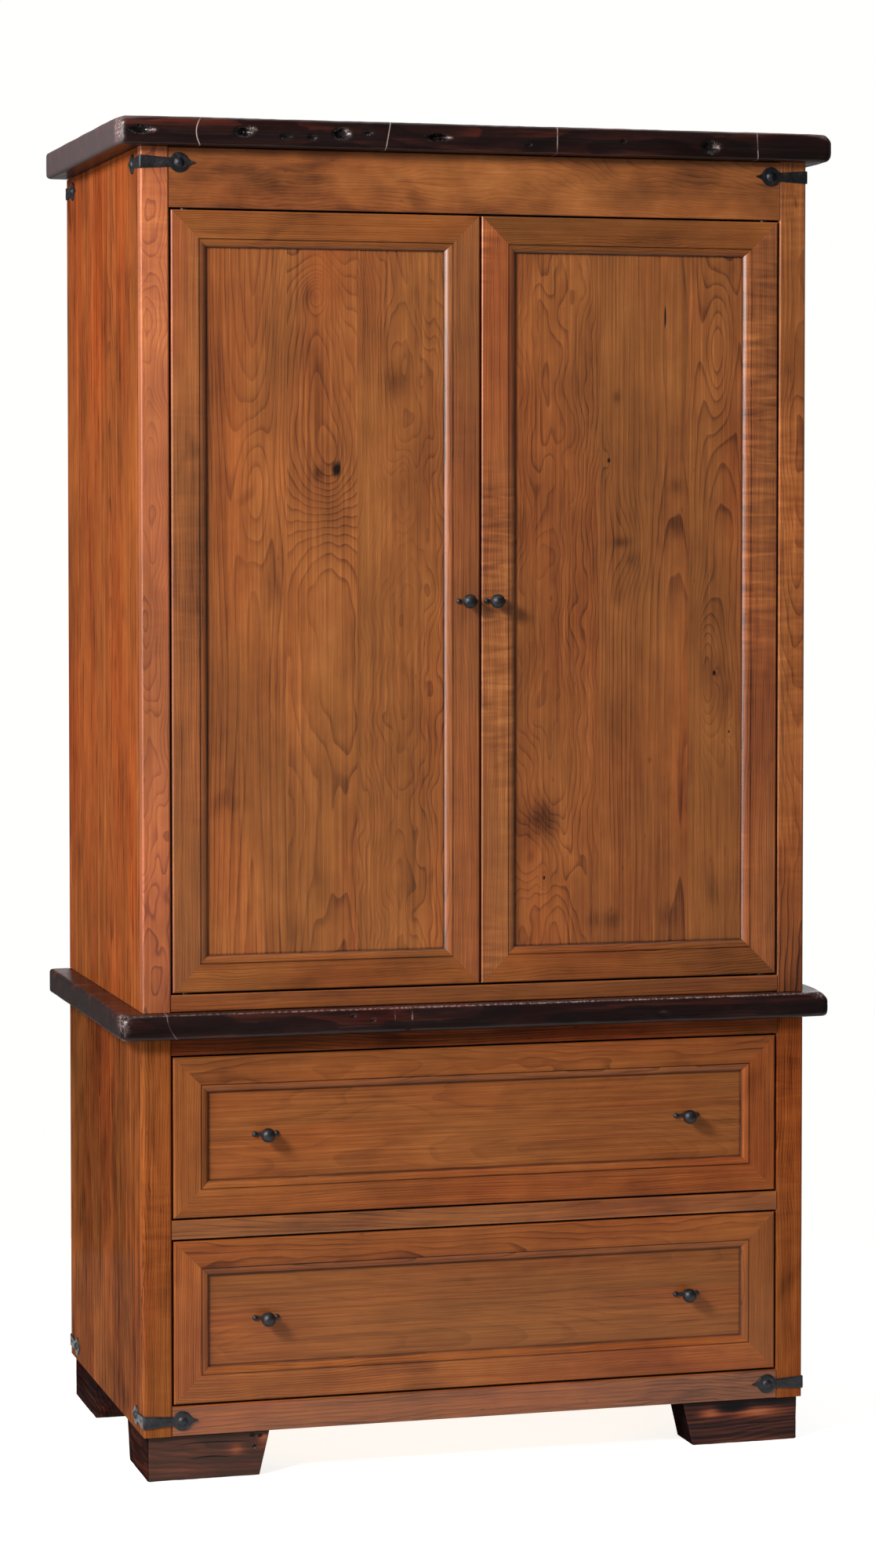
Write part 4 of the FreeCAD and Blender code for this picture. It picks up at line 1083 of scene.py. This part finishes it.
def finish_wood():
    face = PANEL_FACE
    plain_cherry("frieze_rail", "x", "z", 0.9, olive=0.08, red=0.06, lines=0.7, clouds=2.2, fibres=0.55,
        tone=-0.02)
    plain_cherry("upper_bottom_rail", "x", "z", red=0.1, tone=-0.08)
    # Painted shade: tone=-0.26 with extra red darkens this rail, which sits in the shadow under the waist
    # slab.
    plain_cherry("lower_top_rail", "x", "z", red=0.4, tone=-0.26, gloss=0.05, lacquer=0.05)
    plain_cherry("drawer_divider_rail", "x", "z", tone=-0.05)
    plain_cherry("lower_bottom_rail", "x", "z", 0.4, red=0.1, tone=-0.08)
    # Painted highlight: tone=0.08 and blush lighten the posts and turn them pinker towards the left,
    # standing in for the light from the left.
    cherry("upper_posts", "z", "x", hearts=[(-0.535, face + 0.045, 0.0, 1.5), (0.55, face + 0.06, 0.0,
        0.5)], seams=(0.0,), red=0.05, curl=0.5, clouds=1.3, tone=0.08, lines=1.7, painted_left_sheen=0.3)
    plain_cherry("lower_posts", "z", "x", 0.5, red=0.12, curl=0.25, tone=-0.02, gloss=0.0, lacquer=0.02)
    # Painted shade: the lower sides' tone is darker than the upper ones', darker towards the bottom as the
    # light falls off.
    for level, tone, red, lacquer in (("upper", -0.09, 0.26, 0.1), ("lower", -0.24, 0.08, 0.02)):
        for side in ("left", "right"):
            plain_cherry(f"{level}_{side}_side", "z", "y", 0.1, red=red, wave=0.8, lines=0.8, tone=tone,
                gum_runs=0.22, gloss=0.0, lacquer=lacquer)
    for node in ("upper_floor_panel", "hat_shelf"):
        plain_cherry(node, "x", "y", tone=0.04)
    plain_cherry("shelf_cleats", "y", "z")
    plain_cherry("clothes_rod", "x", "z", tone=0.05)

    cherry("left_door_panel", "z", "x", hearts=[(-0.3667, face + 0.09, 0.0, 0.02), (-0.2523, face + 0.3,
        0.0, 0.34), (-0.12, face + 0.09, 0.0, 1.2)], seams=(-0.3138, -0.2005), knots=[(1.5907, -0.2335,
        0.0085, 0.004)], grime=grime_of("left_door_stiles"), eyes=[(1.56, -0.3667, 0.125, 0.026, 0.022),
        (1.595, -0.25, 0.1, 0.06, 0.036), (1.77, -0.256, 0.15, 0.07, 0.036), (1.865, -0.264, 0.03, 0.026,
        0.02), (1.565, -0.125, 0.05, 0.018, 0.018)], stains=[(1.5844, -0.264, 0.012, 0.01, 0.34), (1.53,
        -0.24, 0.05, 0.012, 0.08), (1.865, -0.28, 0.02, 0.008, 0.18), (1.73, -0.14, 0.03, 0.016, 0.14)],
        wave=0.6, tone=0.05)
    cherry("right_door_panel", "z", "x", hearts=[(0.12, face + 0.1, 0.0, 1.0), (0.33, face + 0.12, 0.01,
        0.06), (0.412, face + 0.06, 0.0, 0.3)], seams=(0.2, 0.351), grime=grime_of("right_door_stiles"),
        knots=[(1.6059, 0.2163, 0.0032, 0.008), (1.2623, 0.3969, 0.003, 0.01), (1.1668, 0.4222, 0.0026,
        0.008), (0.9364, 0.1087, 0.0026, 0.012)], eyes=[(1.78, 0.402, 0.12, 0.026, 0.026), (1.26, 0.38,
        0.11, 0.026, -0.03), (0.97, 0.1, 0.06, 0.04, 0.03), (1.47, 0.25, 0.06, 0.03, 0.014)],
        stains=[(1.708, 0.2302, 0.01, 0.006, 0.28), (1.5645, 0.3296, 0.012, 0.012, 0.2), (1.4973, 0.3324,
        0.016, 0.012, 0.22), (1.4747, 0.2417, 0.009, 0.016, 0.24), (1.4494, 0.2564, 0.012, 0.012, 0.24),
        (1.0291, 0.0914, 0.03, 0.045, 0.26), (0.8737, 0.3191, 0.02, 0.012, 0.18), (0.865, 0.215, 0.016,
        0.03, 0.16), (1.235, 0.42, 0.035, 0.006, 0.2), (1.0837, 0.3495, 0.06, 0.012, 0.12), (1.123, 0.2864,
        0.004, 0.003, 0.28)], slits=[(1.8363, 0.3109, 0.02, 0.0016)], tone=0.03, wave=0.5)
    for level, tone in (("upper", -0.01), ("lower", -0.03)):
        node = f"{level}_drawer_panel"
        middle = box_mid(node, "z")
        cherry(node, "x", "z", hearts=[(middle - 0.05, face + 0.09, 0.01, 0.2), (middle + 0.06, face + 0.12,
            -0.01, 0.2)], seams=(middle + 0.012,), tone=tone, lines=0.35, clouds=0.7, olive=0.06,
            fibres=1.1, grime=grime_of(f"{level}_drawer_frame"), gloss=0.12, lacquer=0.08)
        frame_node = f"{level}_drawer_frame"
        cherry(frame_node, "x", "z", hearts=[(box_mid(frame_node, "z") + 0.09, face + 0.08, 0.02, 0.4)],
            mitre=mitre_of(frame_node), grime=grime_of(frame_node), red=0.08, tone=-0.01, fibres=0.8,
            gloss=0.1, lacquer=0.1)
    for side in ("left", "right"):
        grime = grime_of(f"{side}_door_stiles")
        curl, tone = {"left": (0.25, 0.0), "right": (1.05, 0.07)}[side]
        plain_cherry(f"{side}_door_stiles", "z", "x", 0.35, curl=curl, red=0.06, tone=tone, grime=grime,
            lacquer=0.68, lacquer_rough=0.32)
        plain_cherry(f"{side}_door_rails", "x", "z", 0.8, olive=0.08, tone=-0.04, fibres=0.7, clouds=1.2,
            grime=grime, gloss=0.12, lacquer=0.1)


def finish_rest():
    maple = ((188, 148, 102), (212, 178, 132), (230, 202, 160))
    ply = ((160, 118, 78), (186, 146, 102), (204, 168, 124))
    for level in ("upper", "lower"):
        for node, *grain in ((f"{level}_drawer_box", "y", "z", maple), (f"{level}_drawer_bottom", "x", "y",
                maple, 0.8)):
            paint_node(node, pale_wood(f"maple_{node}", *grain))
        node = f"{level}_back_panel"
        paint_node(node, pale_wood(f"ply_{node}", "z", "x", ply, 1.2, 0.6))
    paint_node("slide_spacers", pale_wood("maple_spacers", "y", "z", maple))
    paint_node("lower_dust_panel", pale_wood("maple_dust_panel", "x", "y", maple, 0.8))
    steel = bright_metal("zinc_steel_slides", (122, 124, 128), (178, 180, 184), "y")
    upright_steel = bright_metal("zinc_steel_pins", (118, 120, 124), (172, 174, 178), "z")
    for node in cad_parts:
        if "slide_" in node and node != "slide_spacers":
            paint_node(node, steel)
    paint_node("door_pivot_pins", bright_metal("darkened_steel_pins", (38, 36, 36), (74, 72, 72), "z", 0.4))
    brass = bright_metal("brass_bushes", (150, 112, 52), (198, 158, 84), "z", 0.28)
    for door in ("left_door", "right_door"):
        paint_node(f"{door}_strike_plate", upright_steel)
        paint_node(f"{door}_bushes", brass)
    paint_node("door_catches", moulded_plastic("catch_plastic_brown", (62, 44, 34)))


def soften_edges():
    """A hair's breadth of rounding on the sharp edges of the carried-over wooden pieces."""
    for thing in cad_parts.values():
        material = thing.data.materials[0] if thing.data.materials else None
        if material and material.name.startswith(("cherry", "maple", "ply")):
            bevel = thing.modifiers.new("softened", "BEVEL")
            bevel.width = 0.0006
            bevel.segments = 2
            bevel.limit_method = "ANGLE"
            bevel.angle_limit = math.radians(50)
            bevel.use_clamp_overlap = True


# ---- stage

def floor_material():
    paint = Paint("studio_floor")
    at = paint.here()
    cloud = paint.noise(at, (1.5, 1.5, 1.5), 3.0)
    colour = paint.ramp(cloud, [(0.3, linear(150, 150, 149)), (0.7, linear(154, 154, 153))])
    paint.shader.inputs["Emission Color"].default_value = (1.0, 1.0, 0.99, 1.0)
    return paint.finish(colour, 0.75, cloud, 0.0001, specular_ior_level=0.0, emission_strength=0.82)


def aim(thing, at, forward):
    thing.location = at
    thing.rotation_mode = "QUATERNION"
    thing.rotation_quaternion = forward.to_track_quat("-Z", "Y")


def area_light(name, at, target, width, height, power, colour=(1, 1, 1)):
    light = bpy.data.lights.new(name, "AREA")
    light.shape = "RECTANGLE"
    light.size = width
    light.size_y = height
    light.energy = power
    light.color = colour
    aim(add_object(name, light), at, Vector(target) - Vector(at))


FLOOR_RADIUS = 1.8


def make_stage():
    mesh = bpy.data.meshes.new("floor")
    rim = [(FLOOR_RADIUS * math.cos(math.tau * step / 96), FLOOR_RADIUS * math.sin(math.tau * step / 96), 0)
        for step in range(96)]
    mesh.from_pydata(rim, [], [tuple(range(96))])
    mesh.materials.append(floor_material())
    floor = add_object("floor", mesh)

    area_light("left_key", (-3.9, -2.8, 3.4), (0.0, -0.3, 1.1), 1.1, 1.1, 450, (1.0, 0.98, 0.96))
    area_light("left_softbox", (-3.4, -1.25, 1.6), (0.0, -0.2, 1.2), 0.8, 3.1, 80)
    area_light("overhead", (0.0, 0.6, 5.2), (0.0, 0.6, 0.0), 5.0, 5.0, 170)
    area_light("back_light", (1.5, 4.5, 3.0), (0.0, 0.0, 1.2), 3.0, 2.5, 60)


def make_world():
    """Soft light from all round, weaker in reflections, and a plain white background for the camera."""
    world = bpy.data.worlds.new("studio")
    world.use_nodes = True
    tree = world.node_tree
    ray = tree.nodes.new("ShaderNodeLightPath")
    shades = []
    for colour, strength in (((1.0, 0.985, 0.97), 0.34), ((1.0, 0.98, 0.96), 0.14), ((1.0, 1.0, 0.99),
            1.0)):
        shade = tree.nodes.new("ShaderNodeBackground")
        shade.inputs["Color"].default_value = (*colour, 1.0)
        shade.inputs["Strength"].default_value = strength
        shades.append(shade.outputs[0])
    chosen = shades[0]
    for test, other in (("Is Glossy Ray", shades[1]), ("Is Camera Ray", shades[2])):
        choose = tree.nodes.new("ShaderNodeMixShader")
        tree.links.new(ray.outputs[test], choose.inputs[0])
        tree.links.new(chosen, choose.inputs[1])
        tree.links.new(other, choose.inputs[2])
        chosen = choose.outputs[0]
    tree.links.new(chosen, tree.nodes["World Output"].inputs[0])
    bpy.context.scene.world = world


def make_camera():
    camera = bpy.data.cameras.new("camera")
    camera.lens = 89.42
    camera.sensor_width = 36.0
    camera.shift_x = -0.0094
    camera.shift_y = -0.0678
    camera.clip_end = 100.0
    thing = add_object("camera", camera)
    aim(thing, (-1.71365, -6.26941, 1.51663), Vector((0.2692, 0.96219, -0.04146)).normalized())
    bpy.context.scene.camera = thing
    bpy.context.scene.view_settings.view_transform = "Standard"


make_stage()
make_world()
make_camera()
finish_wood()
finish_rest()
soften_edges()
make_slabs()
make_feet()
black_iron = forged_iron("forged_black_iron")
make_knobs(black_iron)
make_straps(black_iron)
